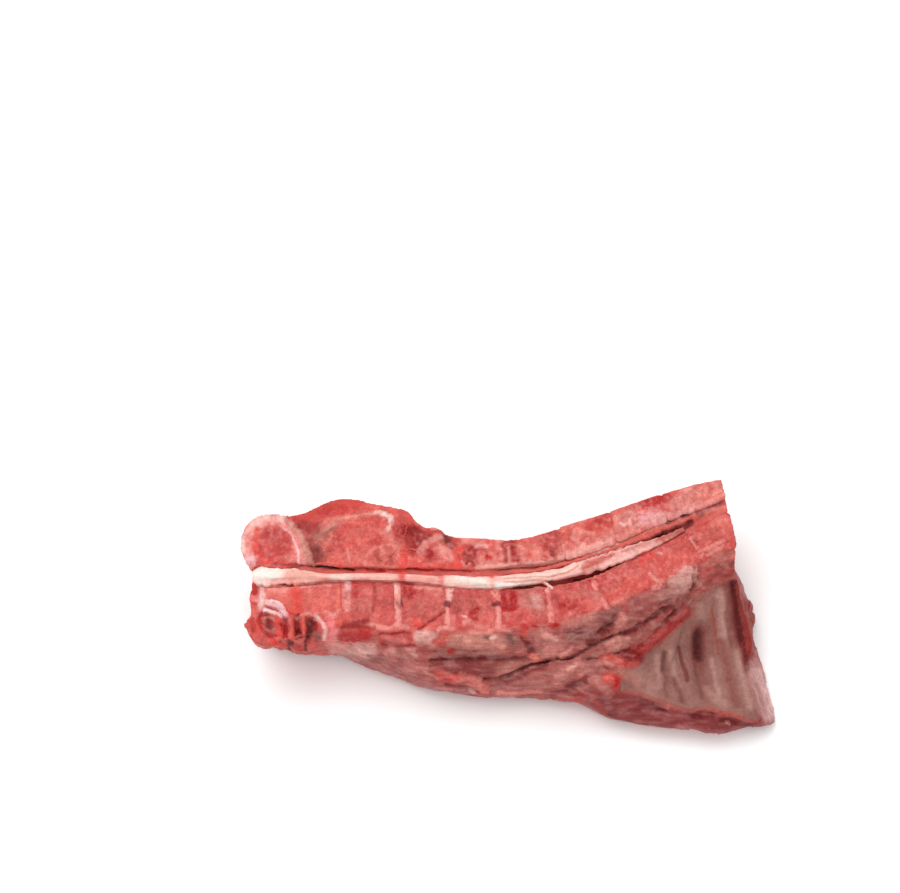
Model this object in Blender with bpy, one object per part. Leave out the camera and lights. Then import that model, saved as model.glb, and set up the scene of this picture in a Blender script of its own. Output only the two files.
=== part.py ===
"""Raw pork neck bones: one half of a pig's neck, sawn down the middle, with the first ribs left on.

It lies on its outer side with the sawn face up. +X runs from the head end to the chest end, +Y from the
throat side to the back side, and +Z up. Sizes are in millimetres until a mesh is made; Blender's unit is
the metre.
"""

import math

import bmesh
import bpy
from mathutils import Vector, noise

MM = 0.001
GAP = 0.3  # air between a bone and its bed in the flesh
COLLAR = 3.0  # how far a cutter stands out of the sawn face

# The neck as a whole.
SAW_HEIGHT = 46.0  # the sawn face above the table
CHEST_END = 122.0  # the last station, at the cut behind the third rib
HEAD_END = -134.0  # where the flesh starts; the first vertebra stands proud of it
LEAN_STARTS = 20.0  # from here on the stations turn to follow the cut behind the third rib
STATION_STEP = 4.2
SKIN_NOISE = 0.9  # how uneven raw flesh is
NOISE_SEED = 11
ORIGIN = (0.137, 1.164, 0.0)  # middle of the whole, on the table

# Edges seen on the sawn face, as (x, y) from the head end.
BACK_EDGE = [
    (-136, 38), (-128, 44), (-113, 47), (-104, 51.5), (-95, 55.5), (-86, 56.5), (-74, 53.5), (-59, 50.5),
    (-53, 47), (-48, 40.5), (-39, 38.5), (-31, 34), (-16, 33), (-3, 31.6), (10, 33), (23, 37.5), (49, 46),
    (76, 56.5), (102, 65), (117, 68),
]
CANAL_ROOF = [
    (-133, 15), (-88, 15), (-59, 14), (-15, 13.5), (3, 15.7), (20, 17.5), (48, 26), (76, 39), (104, 52),
    (119, 59),
]
CANAL_FLOOR = [
    (-138, 3), (-88, 5.5), (-60, 5), (-33, 3), (-6, 1), (20, 2.5), (44, 8), (74, 23), (97, 37), (119, 49),
]
BODY_EDGE = [
    (-132, -29), (-111, -27), (-87, -17), (-60, -19.5), (-6, -20.5), (22, -17), (52, -9), (82, 5.5),
    (105, 19.5), (122, 27.5),
]
# The lowest-lying edge of the throat side and the chest wall.
THROAT_EDGE = [
    (-136, -14), (-126, -15), (-113, -19), (-102, -19.5), (-90, -20.5), (-78, -26), (-64, -31.5),
    (-48, -38.5), (-32, -41.5), (-16, -44), (6, -44), (22, -45.5), (38, -48), (48, -54.5), (60, -58.5),
    (76, -61), (91, -63), (106, -66), (114, -64), (121, -62), (132, -60.4), (145, -57),
]
# Inside of the chest wall: its upper border below the backbone, and the cut edge of the ribs.
PLEURA_EDGE = [(44, -43), (51, -42), (61, -36), (78, -22), (95, -5), (111, 6), (121, 13)]
RIB_CUT_EDGE = [(37, -50), (56, -46), (71, -48), (83, -54), (98, -57), (105, -55.5), (115, -58), (128, -61)]
THROAT_BULGE = 12.0  # height of the widest part of the throat side
PLEURA_HEIGHT = 30.0
CHEST_HOLLOW = 9.0  # how deep the inside of the chest wall is dished
CHEST_FLOOR = 17.5
RIB_CUT_HEIGHT = 20.0
# A crease between two muscles, as (station, share of the way from the bodies to the throat edge).
CREASE = [(-22, 0.86), (-8, 0.78), (10, 0.56), (30, 0.48), (50, 0.40)]
CREASE_DEPTH = 3.4
CREASE_WIDTH = 0.13
MUSCLE_WIDTH = 33.0  # the long muscles of the outer side, which lie flattened on the table
MUSCLE_SLANT = 0.22
MUSCLE_FURROW = 3.2
# The cut behind the third rib, as (y, offset along x), and how far its outer part runs on below the
# inner wall.
END_LEAN = [(-61, 6), (-40, 4), (-22, 3), (-5, 2), (7, 0), (20, 0), (38, -1), (67, -5.5)]
END_FLARE = [(-54, 17), (-38, 16), (-24, 14), (-9, 10), (12, 9), (25, 6), (45, 2)]
FLARE_TOP = 22.0

# Backbone. Each disc line runs from the canal floor to the throat side of the vertebral bodies.
DISC_LINES = {
    "c2_c3": ((-88, 5.5), (-87, -15)),
    "c3_c4": ((-60, 5), (-60, -19.5)),
    "c4_c5": ((-33.5, 3.2), (-33.5, -20.5)),
    "c5_c6": ((-6, 1.2), (-6.5, -20.5)),
    "c6_c7": ((20.5, 2.5), (22, -17)),
    "c7_t1": ((44.5, 7.8), (51.5, -9)),
    "t1_t2": ((74, 23), (82, 5.5)),
    "t2_t3": ((97, 37), (105, 19.5)),
}
CHEST_CUT_LINE = ((119, 49), (122, 27.5))
BODY_NAMES = ["c3", "c4", "c5", "c6", "c7", "t1", "t2", "t3"]
BODY_DEPTH = 14.0
BODY_WAIST = 1.4
CANAL_WAIST = 0.15  # share of the waist on the canal side
THROAT_WAIST = 1.3  # and on the throat side
DISC_THICKNESS = 2.8
AXIS_OUTLINE = [
    (-135, -1), (-130, 2.6), (-112, 3.8), (-91, 5.2), (-90, -14), (-97, -16), (-112, -12.5), (-123, -7.5),
]
AXIS_DEPTH = 13.0
# Ovals on the sawn face: centre, half length, half height, turn in degrees, depth.
ATLAS_ARCH = ((-126, 30.8), 17.5, 15.5, -8, 26)
ATLAS_BODY = ((-129.5, -18.5), 9.2, 10.6, 12, 12)
AXIS_SPINE_OUTLINE = [
    (-67.5, 16.6), (-61.5, 25), (-57, 33), (-54.5, 41), (-63, 46), (-74, 49.5), (-86, 51.5), (-96, 48.5),
    (-103, 40), (-106, 28), (-104, 18.5), (-86, 16.8),
]
AXIS_SPINE_DEPTH = 7.0
ARCHES = {
    "c3": ((-54, 21.3), 7, 5.0, 4, 6),
    "c4": ((-39.5, 22.5), 6.4, 7, 10, 6),
    "c5": ((-19.5, 23), 7.5, 6.6, 5, 6.5),
    "c6": ((2, 23.4), 8, 6, -4, 6.5),
    "c7": ((20.5, 27), 7.5, 7.2, 8, 7),
}
SPINE_CUTS = {"t1": (31, 57), "t2": (58.5, 85), "t3": (86.5, 117.5)}
SPINE_LEAN = 0.16
SPINE_DEPTH = 7.0
END_OVERRUN = 6.0  # how far the beds of the last bones run on through the cut behind the third rib

# Spinal cord, as (x, radius) along the canal.
CORD_RADII = [
    (-140, 3.6), (-134, 4.6), (-124, 4.2), (-112, 3.2), (-90, 2.7), (-60, 2.8), (-33, 3.3), (-12, 3.3),
    (8, 2.9), (30, 2.5), (52, 2.0), (78, 1.5), (94, 1.0),
]
CORD_START = -140.5
CORD_STEP = 6.35
CORD_SWAY = 0.225  # share of the free room in the canal that it wanders through
CORD_SINKS = 0.6  # share of its radius that its middle lies under the sawn face
# A fold of its sheath starts here, and a frayed root runs off as (x, y from the middle, z, radius).
SHEATH_START = 16.0
SHEATH_STEP = 5.0
SHEATH_HEIGHT = 43.8
SHEATH_RADIUS = 1.2
ROOT = [(18, -1, 43.2, 1.0), (21, -4, 43.4, 0.9), (23.4, -6, 44, 0.7)]
CANAL_START = -150.0
CANAL_STEP = 6.4
CANAL_SINK = 1.5  # how far the channel's middle lies under the sawn face

# Ribs, each from its upper end by the backbone to its sawn lower end.
RIBS = {
    "rib_1": ([(90, -10), (82, -25), (77, -40), (74, -49.5)], 12.0),
    "rib_2": ([(100.5, -2), (97, -19), (96.5, -37), (97, -57.5)], 10.5),
    "rib_3": ([(112, 6), (114, -13), (116, -37), (119.5, -59.5)], 15.0),
}
RIB_THICKNESS = 6.5
RIB_SHOWS = 1.0  # how far a rib stands out of the chest wall

FLESH = ("flesh", (0.55, 0.20, 0.18, 1), 0.45)
BONE = ("sawn_bone", (0.66, 0.22, 0.19, 1), 0.5)
RIB = ("rib_bone", (0.62, 0.45, 0.38, 1), 0.35)
DISC = ("disc", (0.80, 0.55, 0.50, 1), 0.4)
CORD = ("spinal_cord", (0.86, 0.70, 0.58, 1), 0.35)


def smooth_curve(knots):
    """A smooth function through (x, value) knots, level beyond both ends."""
    xs = [float(k[0]) for k in knots]
    values = [float(k[1]) for k in knots]
    last = len(xs) - 1
    slopes = []
    for i in range(last + 1):
        a, b = max(i - 1, 0), min(i + 1, last)
        slopes.append((values[b] - values[a]) / (xs[b] - xs[a]))

    def at(x):
        if x <= xs[0]:
            return values[0]
        if x >= xs[-1]:
            return values[-1]
        i = max(k for k in range(last) if xs[k] <= x)
        width = xs[i + 1] - xs[i]
        t = (x - xs[i]) / width
        rise = values[i + 1] - values[i]
        start, end = slopes[i] * width, slopes[i + 1] * width
        square, cube = 3 * rise - 2 * start - end, start + end - 2 * rise
        return values[i] + t * start + t * t * square + t**3 * cube

    return at


def ease(x, low, high):
    """0 below low, 1 above high, smooth in between."""
    t = min(1.0, max(0.0, (x - low) / (high - low)))
    return t * t * (3 - 2 * t)


end_lean = smooth_curve(END_LEAN)
end_flare = smooth_curve(END_FLARE)


def along(station, y, z):
    """x of a point on a station line, which leans more and more towards the chest end."""
    turn = ease(station, LEAN_STARTS, CHEST_END)
    flare = end_flare(y) * max(0.0, FLARE_TOP - z) / FLARE_TOP
    return station + turn * (end_lean(y) + flare)


def station_of(x, y, z):
    """The station whose line passes through a point."""
    station = x
    for _ in range(30):
        station += 0.7 * (x - along(station, y, z))
    return station


def edge_curve(points, height):
    """y of an edge as a function of the station, from its (x, y) points at one height."""
    return smooth_curve([(station_of(x, y, height), y) for x, y in points])


back_edge = edge_curve(BACK_EDGE, SAW_HEIGHT)
canal_roof = edge_curve(CANAL_ROOF, SAW_HEIGHT)
canal_floor = edge_curve(CANAL_FLOOR, SAW_HEIGHT)
body_edge = edge_curve(BODY_EDGE, SAW_HEIGHT)
throat_edge = edge_curve(THROAT_EDGE, THROAT_BULGE)
pleura_edge = edge_curve(PLEURA_EDGE, PLEURA_HEIGHT)
rib_cut_edge = edge_curve(RIB_CUT_EDGE, RIB_CUT_HEIGHT)
crease_at = smooth_curve(CREASE)
cord_radius = smooth_curve(CORD_RADII)


def flank_height(station, y):
    """Height of the top surface between the vertebral bodies and the throat edge."""
    start, end = body_edge(station), throat_edge(station)
    share = min(1.0, max(0.0, (start - y) / (start - end)))
    neck = THROAT_BULGE + (SAW_HEIGHT - THROAT_BULGE) * math.sqrt(1 - share**2.3)
    crease = crease_at(station)
    presence = ease(station, -30, -8) * (1 - ease(station, 44, 58))
    neck -= presence * CREASE_DEPTH * math.exp(-(((share - crease) / CREASE_WIDTH) ** 2))
    chest_share = ease(station, 34, 62)
    if chest_share == 0:
        return neck
    upper = min(pleura_edge(station), start - 8)
    lower = max(min(rib_cut_edge(station), upper - 3), end + 4)
    if y > upper:
        t = (start - y) / (start - upper)
        chest = SAW_HEIGHT - (SAW_HEIGHT - PLEURA_HEIGHT) * ease(t, -0.1, 1.0)
    elif y > lower:
        t = (upper - y) / (upper - lower)
        hollow = CHEST_HOLLOW * min(1.0, (upper - lower) / 50)
        chest = PLEURA_HEIGHT + (RIB_CUT_HEIGHT - PLEURA_HEIGHT) * t
        chest = max(chest - hollow * math.sin(math.pi * t) ** 0.8, CHEST_FLOOR)
    else:
        t = (lower - y) / (lower - end)
        chest = THROAT_BULGE + (RIB_CUT_HEIGHT - THROAT_BULGE) * (1 - t) ** 1.7
    return neck + (chest - neck) * chest_share


def outer_side(station, y):
    """Height of the resting side: long muscles, pressed flat on the table, and furrows between them."""
    across = (y - MUSCLE_SLANT * station) / MUSCLE_WIDTH
    furrow = 0.5 + 0.5 * math.cos(2 * math.pi * across + 0.6 * math.sin(station / 31))
    return MUSCLE_FURROW * max(0.0, 2.2 * furrow - 1.2)


def section(station):
    """Closed ring of (y, z) points round the flesh at one station, from the back edge of the sawn face on."""
    back, keel, throat = back_edge(station), body_edge(station), throat_edge(station)
    chest = ease(station, 30, 80)
    ring = [(back, SAW_HEIGHT), (keel, SAW_HEIGHT)]
    steps = 19
    for i in range(1, steps):
        share = math.sin(i / steps * math.pi / 2) ** (1.0 + 0.25 * chest)
        y = keel + (throat - keel) * share
        ring.append((y, flank_height(station, y)))
    rise = 12 * chest  # the spines of the chest vertebrae are thin, so the back side is thinner there
    ring += [
        (throat, THROAT_BULGE),
        (throat + 0.8, THROAT_BULGE * 0.55),
        (throat + 3.5, THROAT_BULGE * 0.2),
    ]
    start, end = throat + 9, back - 16 - 26 * chest
    for i in range(11):
        y = start + (end - start) * i / 10
        ring.append((y, outer_side(station, y)))
    ring += [
        (back - 9 - 13 * chest, 1.2 + 0.45 * rise),
        (back - 3.5 - 5 * chest, 6 + 0.8 * rise),
        (back + 0.2 - chest, 14 + rise),
        (back + 1.2 - 1.2 * chest, 24 + 0.7 * rise),
        (back + 0.8 - 0.8 * chest, 36 + 0.1 * rise),
    ]
    return ring


def end_scale(station):
    """The flesh is rounded off where it starts at the head end."""
    return 0.45 + 0.55 * math.sqrt(1 - (1 - ease(station, HEAD_END - 4, HEAD_END + 8)) ** 2)


def uneven(point):
    """Moves a point by smooth noise, and leaves the sawn face and the resting face flat."""
    x, y, z = point
    free = min(1.0, (SAW_HEIGHT - z) / 4) * min(1.0, z / 3)
    if z >= SAW_HEIGHT - 0.01:
        return point
    broad, fine = noise.noise_vector(Vector(point) / 13), noise.noise_vector(Vector(point) / 6)
    shift = SKIN_NOISE * (broad + 0.5 * fine)
    end = ease(x, 100, 118)
    return x + shift.x * free * (1 - 0.7 * end), y + shift.y * free, max(0.0, z + shift.z * free)


def material(name, colour, roughness):
    made = bpy.data.materials.get(name) or bpy.data.materials.new(name)
    made.use_nodes = True
    shader = made.node_tree.nodes["Principled BSDF"]
    shader.inputs["Base Color"].default_value = colour
    shader.inputs["Roughness"].default_value = roughness
    return made


def add_object(name, mesh_editor, look):
    """Makes an object of a bmesh in millimetres, with its faces outwards and the origin below its middle."""
    bmesh.ops.recalc_face_normals(mesh_editor, faces=mesh_editor.faces)
    bmesh.ops.translate(mesh_editor, vec=-Vector(ORIGIN), verts=mesh_editor.verts)
    bmesh.ops.scale(mesh_editor, vec=(MM, MM, MM), verts=mesh_editor.verts)
    mesh = bpy.data.meshes.new(name)
    mesh_editor.to_mesh(mesh)
    mesh_editor.free()
    mesh.materials.append(material(*look))
    made = bpy.data.objects.new(name, mesh)
    bpy.context.scene.collection.objects.link(made)
    mesh.shade_smooth()
    mesh.set_sharp_from_angle(angle=math.radians(40))
    return made


def loft(rings):
    """A tube through rings of equal length, closed at both ends."""
    editor = bmesh.new()
    count = len(rings[0])
    bmesh.ops.create_circle(editor, segments=count, radius=1)
    verts, edges = list(editor.verts), list(editor.edges)
    for vert, point in zip(verts, rings[0]):
        vert.co = point
    for ring in rings[1:]:
        made = bmesh.ops.extrude_edge_only(editor, edges=edges)["geom"]
        edges = [item for item in made if isinstance(item, bmesh.types.BMEdge)]
        fresh = {item for item in made if isinstance(item, bmesh.types.BMVert)}
        verts = [next(e.other_vert(v) for e in v.link_edges if e.other_vert(v) in fresh) for v in verts]
        for vert, point in zip(verts, ring):
            vert.co = point
    bmesh.ops.holes_fill(editor, edges=[e for e in editor.edges if e.is_boundary], sides=count + 1)
    bmesh.ops.triangulate(editor, faces=[f for f in editor.faces if len(f.verts) > 4])
    return editor


def slab(outline, top, depth, draft=0.82, bevel=1.2, collar=0.0):
    """A plate with a flat top and narrowing sides, from an (x, y) outline. A collar carries it upwards."""
    centre = Vector((sum(p[0] for p in outline), sum(p[1] for p in outline))) / len(outline)
    reach = sum((Vector(p) - centre).length for p in outline) / len(outline)
    levels = [(top, 1.0), (top - depth + bevel, draft), (top - depth, draft * (1 - bevel / reach))]
    if collar:
        levels.insert(0, (top + collar, 1.0))
    return loft([[(*(centre + (Vector(p) - centre) * width), z) for p in outline] for z, width in levels])


def oval(centre, half_length, half_height, turn, count=16, grow=0.0):
    """A slightly squared oval outline."""
    points = []
    lean, rise = math.cos(math.radians(turn)), math.sin(math.radians(turn))
    for i in range(count):
        t = 2 * math.pi * i / count
        c, s = math.cos(t), math.sin(t)
        x = math.copysign(abs(c) ** 0.8, c) * (half_length + grow)
        y = math.copysign(abs(s) ** 0.8, s) * (half_height + grow)
        points.append((centre[0] + x * lean - y * rise, centre[1] + x * rise + y * lean))
    return points


def grown(outline, by):
    """The outline pushed outwards, for the bed of a bone."""
    count = len(outline)
    area = sum(a[0] * b[1] - b[0] * a[1] for a, b in zip(outline, outline[1:] + outline[:1]))
    side = 1 if area > 0 else -1
    moved = []
    for i in range(count):
        a, b = Vector(outline[i - 1]), Vector(outline[(i + 1) % count])
        tangent = (b - a).normalized()
        normal = Vector((tangent.y, -tangent.x)) * side
        moved.append(tuple(Vector(outline[i]) + normal * by))
    return moved


def between(a, b, t):
    return Vector(a) + (Vector(b) - Vector(a)) * t


def inset_line(line, towards, by):
    """A disc line moved towards another one."""
    moved = []
    for point, other in zip(line, towards):
        step = Vector(other) - Vector(point)
        moved.append(Vector(point) + step.normalized() * by)
    return moved


def body_outline(start, end):
    """Outline of a vertebral body between two disc lines, waisted on the canal and throat sides."""
    half = DISC_THICKNESS / 2 + GAP
    left = inset_line(start, end, half)
    right = inset_line(end, start, 0 if end is CHEST_CUT_LINE else half)
    up = (left[0] - left[1]).normalized()
    sides = (
        ((left[0], right[0]), (right[0], right[1]), -CANAL_WAIST),
        ((right[1], left[1]), (left[1], left[0]), THROAT_WAIST),
    )
    outline = []
    steps = 5
    for edge, next_end, waist in sides:
        for i in range(steps + 1):
            t = 0.06 + 0.88 * i / steps
            outline.append(between(*edge, t) + up * waist * BODY_WAIST * math.sin(math.pi * t))
        outline += [between(*next_end, t) for t in (0.1, 0.5, 0.9)]
    return [tuple(p) for p in outline]


def disc_outline(line):
    """Outline of a disc: thin, a little wider at both ends where it spreads round the bodies."""
    top, bottom = Vector(line[0]), Vector(line[1])
    down = (bottom - top).normalized()
    across = Vector((-down.y, down.x))
    length = (bottom - top).length
    right, left = [], []
    for t in (0.02, 0.12, 0.35, 0.6, 0.88, 1.0):
        half = DISC_THICKNESS / 2 * (1 if 0.1 < t < 0.9 else 0.8)
        middle = top + down * length * t
        right.append(middle - across * half)
        left.append(middle + across * half)
    return [tuple(p) for p in right + left[::-1]]


def spine_outline(start, end, overrun):
    """Outline of a chest vertebra's spine: from the canal roof to the back edge, leaning to the head end."""
    roof, back, steps = [], [], 5
    for i in range(steps + 1):
        x = start + (end - start) * i / steps
        y = canal_roof(x) + 0.6
        height = back_edge(x) + overrun - y
        roof.append((x, y))
        back.append((x - SPINE_LEAN * height, y + height))
    return roof + back[::-1]


def outlines():
    """Every bone and disc in the sawn face: name, outline, bed outline, depth, bevel, bed shape, look."""
    found = []

    def add(name, outline, depth, look, bed=None, bevel=1.2):
        bed_shape = {"draft": 1.0, "bevel": 0.0} if bed else {"bevel": bevel}
        found.append((name, outline, bed or grown(outline, GAP), depth, bevel, bed_shape, look))

    add("atlas_arch", oval(*ATLAS_ARCH[:4], count=20), ATLAS_ARCH[4], BONE, bevel=5)
    add("atlas_body", oval(*ATLAS_BODY[:4]), ATLAS_BODY[4], BONE, bevel=3)
    add("axis_spine", AXIS_SPINE_OUTLINE, AXIS_SPINE_DEPTH, BONE)
    add("axis_body", AXIS_OUTLINE, AXIS_DEPTH, BONE)
    lines = [*DISC_LINES.values(), CHEST_CUT_LINE]
    for name, start, end in zip(BODY_NAMES, lines, lines[1:]):
        outline = body_outline(start, end)
        bed = None
        if end is CHEST_CUT_LINE:
            bed = grown(outline, GAP)
            for i in range(5, 10):  # the corners on the cut behind the third rib
                x, y = bed[i]
                bed[i] = (x + END_OVERRUN, y + (4 if i < 7 else -1))
        add(f"{name}_body", outline, BODY_DEPTH, BONE, bed)
    for name, line in DISC_LINES.items():
        outline = disc_outline(line)
        add(f"disc_{name}", outline, BODY_DEPTH - 1, DISC, bevel=0.3)
    for name, (centre, half_length, half_height, turn, depth) in ARCHES.items():
        add(f"{name}_arch", oval(centre, half_length, half_height, turn, count=14), depth, BONE)
    for name, (start, end) in SPINE_CUTS.items():
        bed = grown(spine_outline(start, end, 5.0), GAP)
        if name == "t3":
            bed = [(x + END_OVERRUN, y) if x > 112 else (x, y) for x, y in bed]
        add(f"{name}_spine", spine_outline(start, end, 0.7), SPINE_DEPTH, BONE, bed)
    return found


def canal_middle(x):
    """Centre line of the spinal canal on the sawn face."""
    return (canal_roof(x) + canal_floor(x)) / 2


def canal_half_width(x):
    slope = (canal_middle(x + 2) - canal_middle(x - 2)) / 4
    return (canal_roof(x) - canal_floor(x)) / 2 / math.sqrt(1 + slope * slope)


def tube(name, points, look, sides=3):
    """A round tube of changing radius through (x, y, z, radius) points, as a curve with filled caps."""
    curve = bpy.data.curves.new(name, "CURVE")
    curve.dimensions = "3D"
    curve.bevel_depth = MM
    curve.bevel_resolution = sides
    curve.use_fill_caps = True
    spline = curve.splines.new("POLY")
    spline.points.add(len(points) - 1)
    for target, (x, y, z, radius) in zip(spline.points, points):
        target.co = (x * MM, y * MM, z * MM, 1)
        target.radius = radius
    made = bpy.data.objects.new(name, curve)
    bpy.context.scene.collection.objects.link(made)
    mesh = bpy.data.meshes.new_from_object(made.evaluated_get(bpy.context.evaluated_depsgraph_get()))
    bpy.data.objects.remove(made)
    editor = bmesh.new()
    editor.from_mesh(mesh)
    bpy.data.meshes.remove(mesh)
    bmesh.ops.remove_doubles(editor, verts=editor.verts, dist=1e-6)
    bmesh.ops.scale(editor, vec=(1 / MM, 1 / MM, 1 / MM), verts=editor.verts)
    return add_object(name, editor, look)


def canal_cutter():
    """The half-round channel that the spinal cord lies in."""
    points = []
    for i in range(45):
        x = CANAL_START + i * CANAL_STEP
        points.append((x, canal_middle(x), SAW_HEIGHT - CANAL_SINK, canal_half_width(x) + CANAL_SINK))
    return tube("canal_cutter", points, FLESH, sides=4)


def boolean(target, others, operation):
    """Applies one Boolean with a collection of objects, and removes them."""
    group = bpy.data.collections.new("operands")
    for other in others:
        group.objects.link(other)
    modifier = target.modifiers.new("boolean", "BOOLEAN")
    modifier.operation = operation
    modifier.operand_type = "COLLECTION"
    modifier.collection = group
    modifier.solver = "EXACT"
    mesh = bpy.data.meshes.new_from_object(target.evaluated_get(bpy.context.evaluated_depsgraph_get()))
    target.modifiers.clear()
    old, name = target.data, target.data.name
    target.data = mesh
    bpy.data.meshes.remove(old)
    mesh.name = name
    for other in others:
        bpy.data.objects.remove(other)
    bpy.data.collections.remove(group)


def drop_scraps(target):
    """Keeps the largest connected piece, without slivers left between two cuts."""
    editor = bmesh.new()
    editor.from_mesh(target.data)
    left = set(editor.verts)
    pieces = []
    while left:
        piece, front = set(), [left.pop()]
        while front:
            vert = front.pop()
            piece.add(vert)
            near = {edge.other_vert(vert) for edge in vert.link_edges} & left
            left -= near
            front += near
        pieces.append(piece)
    pieces.sort(key=len)
    scraps = [vert for piece in pieces[:-1] for vert in piece]
    bmesh.ops.delete(editor, geom=scraps, context="VERTS")
    editor.to_mesh(target.data)
    editor.free()


def make_flesh():
    stations = [HEAD_END - 3.6, HEAD_END - 2.4, HEAD_END]
    count = round((CHEST_END - HEAD_END) / STATION_STEP)
    stations += [HEAD_END + (CHEST_END - HEAD_END) * (i + 1) / count for i in range(count)]
    rings = []
    for station in stations:
        ring = section(station)
        middle_y = sum(p[0] for p in ring) / len(ring)
        size = end_scale(station)
        points = []
        for y, z in ring:
            y = middle_y + (y - middle_y) * size
            top = z >= SAW_HEIGHT - 0.01
            z = z if top else 20 + (z - 20) * size
            points.append(uneven((along(station, y, z), y, z)))
        rings.append(points)
    return add_object("flesh", loft(rings), FLESH)


def make_rib(name, path, width, grow=0.0, extend=0.0):
    """A flat oval bar along the inside of the chest wall."""
    side = smooth_curve([(-y, x) for x, y in path])
    start, end = -path[0][1] - extend, -path[-1][1] + extend
    steps = 12
    rings = []
    for i in range(steps + 1):
        depth = start + (end - start) * i / steps
        x, y = side(depth), -depth
        station = station_of(x, y, RIB_CUT_HEIGHT)
        held = max(y, rib_cut_edge(station) + 2.5)
        z = flank_height(station, held) - RIB_THICKNESS / 2 + RIB_SHOWS
        slim = 0.72 + 0.28 * ease(i / steps, 0, 0.35)
        ring = []
        for k in range(12):
            t = 2 * math.pi * k / 12
            across = math.cos(t) * (width / 2 * slim + grow)
            ring.append((x + across, y, z + math.sin(t) * (RIB_THICKNESS / 2 + grow)))
        rings.append(ring)
    return add_object(name, loft(rings), RIB)


def make_cord():
    """The cord with a fold of its sheath on the canal roof side and one frayed root."""
    main = []
    for i in range(38):
        x = CORD_START + i * CORD_STEP
        radius = cord_radius(x)
        room = canal_half_width(x) - radius
        y = canal_middle(x) + room * (CORD_SWAY * math.sin(x / 14) - 0.6 * ease(x, 20, 90))
        main.append((x, y, SAW_HEIGHT - CORD_SINKS * radius - 0.4, radius))
    cord = tube("spinal_cord", main, CORD, sides=3)
    sheath = []
    for i in range(12):
        x = SHEATH_START + i * SHEATH_STEP
        lift = 0.2 + 0.55 * ease(x, 16, 50)
        y = canal_middle(x) + lift * (canal_half_width(x) - SHEATH_RADIUS)
        sheath.append((x, y, SHEATH_HEIGHT, SHEATH_RADIUS))
    strand = tube("sheath", sheath, CORD, sides=2)
    middle = canal_middle(ROOT[0][0])
    root = tube("root", [(x, middle + y, z, radius) for x, y, z, radius in ROOT], CORD, sides=1)
    boolean(cord, [strand, root], "UNION")


def make_part():
    for old in list(bpy.data.objects):
        bpy.data.objects.remove(old)
    noise.seed_set(NOISE_SEED)
    flesh = make_flesh()
    cutters = [canal_cutter()]
    for name, outline, bed, depth, bevel, bed_shape, look in outlines():
        add_object(name, slab(outline, SAW_HEIGHT, depth, bevel=bevel), look)
        bed_mesh = slab(bed, SAW_HEIGHT, depth + GAP, collar=COLLAR, **bed_shape)
        cutters.append(add_object(f"bed_{name}", bed_mesh, look))
    for name, (path, width) in RIBS.items():
        make_rib(name, path, width)
        cutters.append(make_rib(f"bed_{name}", path, width, grow=GAP, extend=GAP))
    boolean(flesh, cutters, "DIFFERENCE")
    drop_scraps(flesh)
    make_cord()


make_part()
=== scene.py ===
"""Looks of the raw pork neck bones: wet meat, membranes, sawn marrow bones, discs, the spinal cord and ribs.

The frame gives every solid. Each operator takes a solid's mesh, makes it fine enough to carry detail, and
lays named strokes of colour and relief on it. A stroke's points are places in the camera's frame, in pixels,
so it lies on whatever surface is seen there. Sizes are in millimetres of the real piece, times MM.
"""

import math
from collections import namedtuple

import bmesh
import bpy
import numpy as np
from bpy.props import FloatProperty, FloatVectorProperty, PointerProperty
from mathutils import Matrix, Vector, noise


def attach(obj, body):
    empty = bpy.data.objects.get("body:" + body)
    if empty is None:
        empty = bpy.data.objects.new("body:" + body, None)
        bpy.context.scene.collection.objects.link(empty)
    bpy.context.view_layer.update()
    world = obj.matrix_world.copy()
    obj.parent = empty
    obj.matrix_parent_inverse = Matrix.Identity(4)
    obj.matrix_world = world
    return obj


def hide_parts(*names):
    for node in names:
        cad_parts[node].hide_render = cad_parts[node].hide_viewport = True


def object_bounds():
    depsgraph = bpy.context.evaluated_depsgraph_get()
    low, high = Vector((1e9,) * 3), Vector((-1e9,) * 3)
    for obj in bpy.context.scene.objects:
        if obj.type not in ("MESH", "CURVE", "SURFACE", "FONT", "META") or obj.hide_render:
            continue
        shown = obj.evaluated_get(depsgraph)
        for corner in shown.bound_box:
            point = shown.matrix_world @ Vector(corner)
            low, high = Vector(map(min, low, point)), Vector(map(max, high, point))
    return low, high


bl_info = {
    "name": "Raw pork neck bones",
    "version": (1, 0, 0),
    "blender": (4, 5, 0),
    "location": "View3D > Sidebar > Neck bones",
    "description": "Dresses the solids of a sawn pork neck as raw meat, bone and membrane",
    "category": "Object",
}

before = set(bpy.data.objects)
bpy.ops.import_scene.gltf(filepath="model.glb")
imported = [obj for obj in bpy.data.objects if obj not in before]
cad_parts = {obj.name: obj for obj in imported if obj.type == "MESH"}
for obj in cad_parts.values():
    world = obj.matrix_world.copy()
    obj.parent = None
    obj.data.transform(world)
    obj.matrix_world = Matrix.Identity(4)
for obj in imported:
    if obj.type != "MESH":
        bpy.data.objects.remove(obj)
CAD_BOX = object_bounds()

# ---------------------------------------------------------------- sizes, the camera and the palette

REAL_LENGTH = 287.256  # millimetres from end to end, when MM is 0.001
MM = (CAD_BOX[1].x - CAD_BOX[0].x) / REAL_LENGTH
LIGHT = 1.25  # what a white surface reflects towards the camera
VEIL = 0.02  # how much of the light the wet film mirrors
SAWN_HEIGHT = 46.0  # the sawn face above the table
ABOVE_TABLE = 0.03  # the least height of any point
NOISE_SEED = 7

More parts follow.
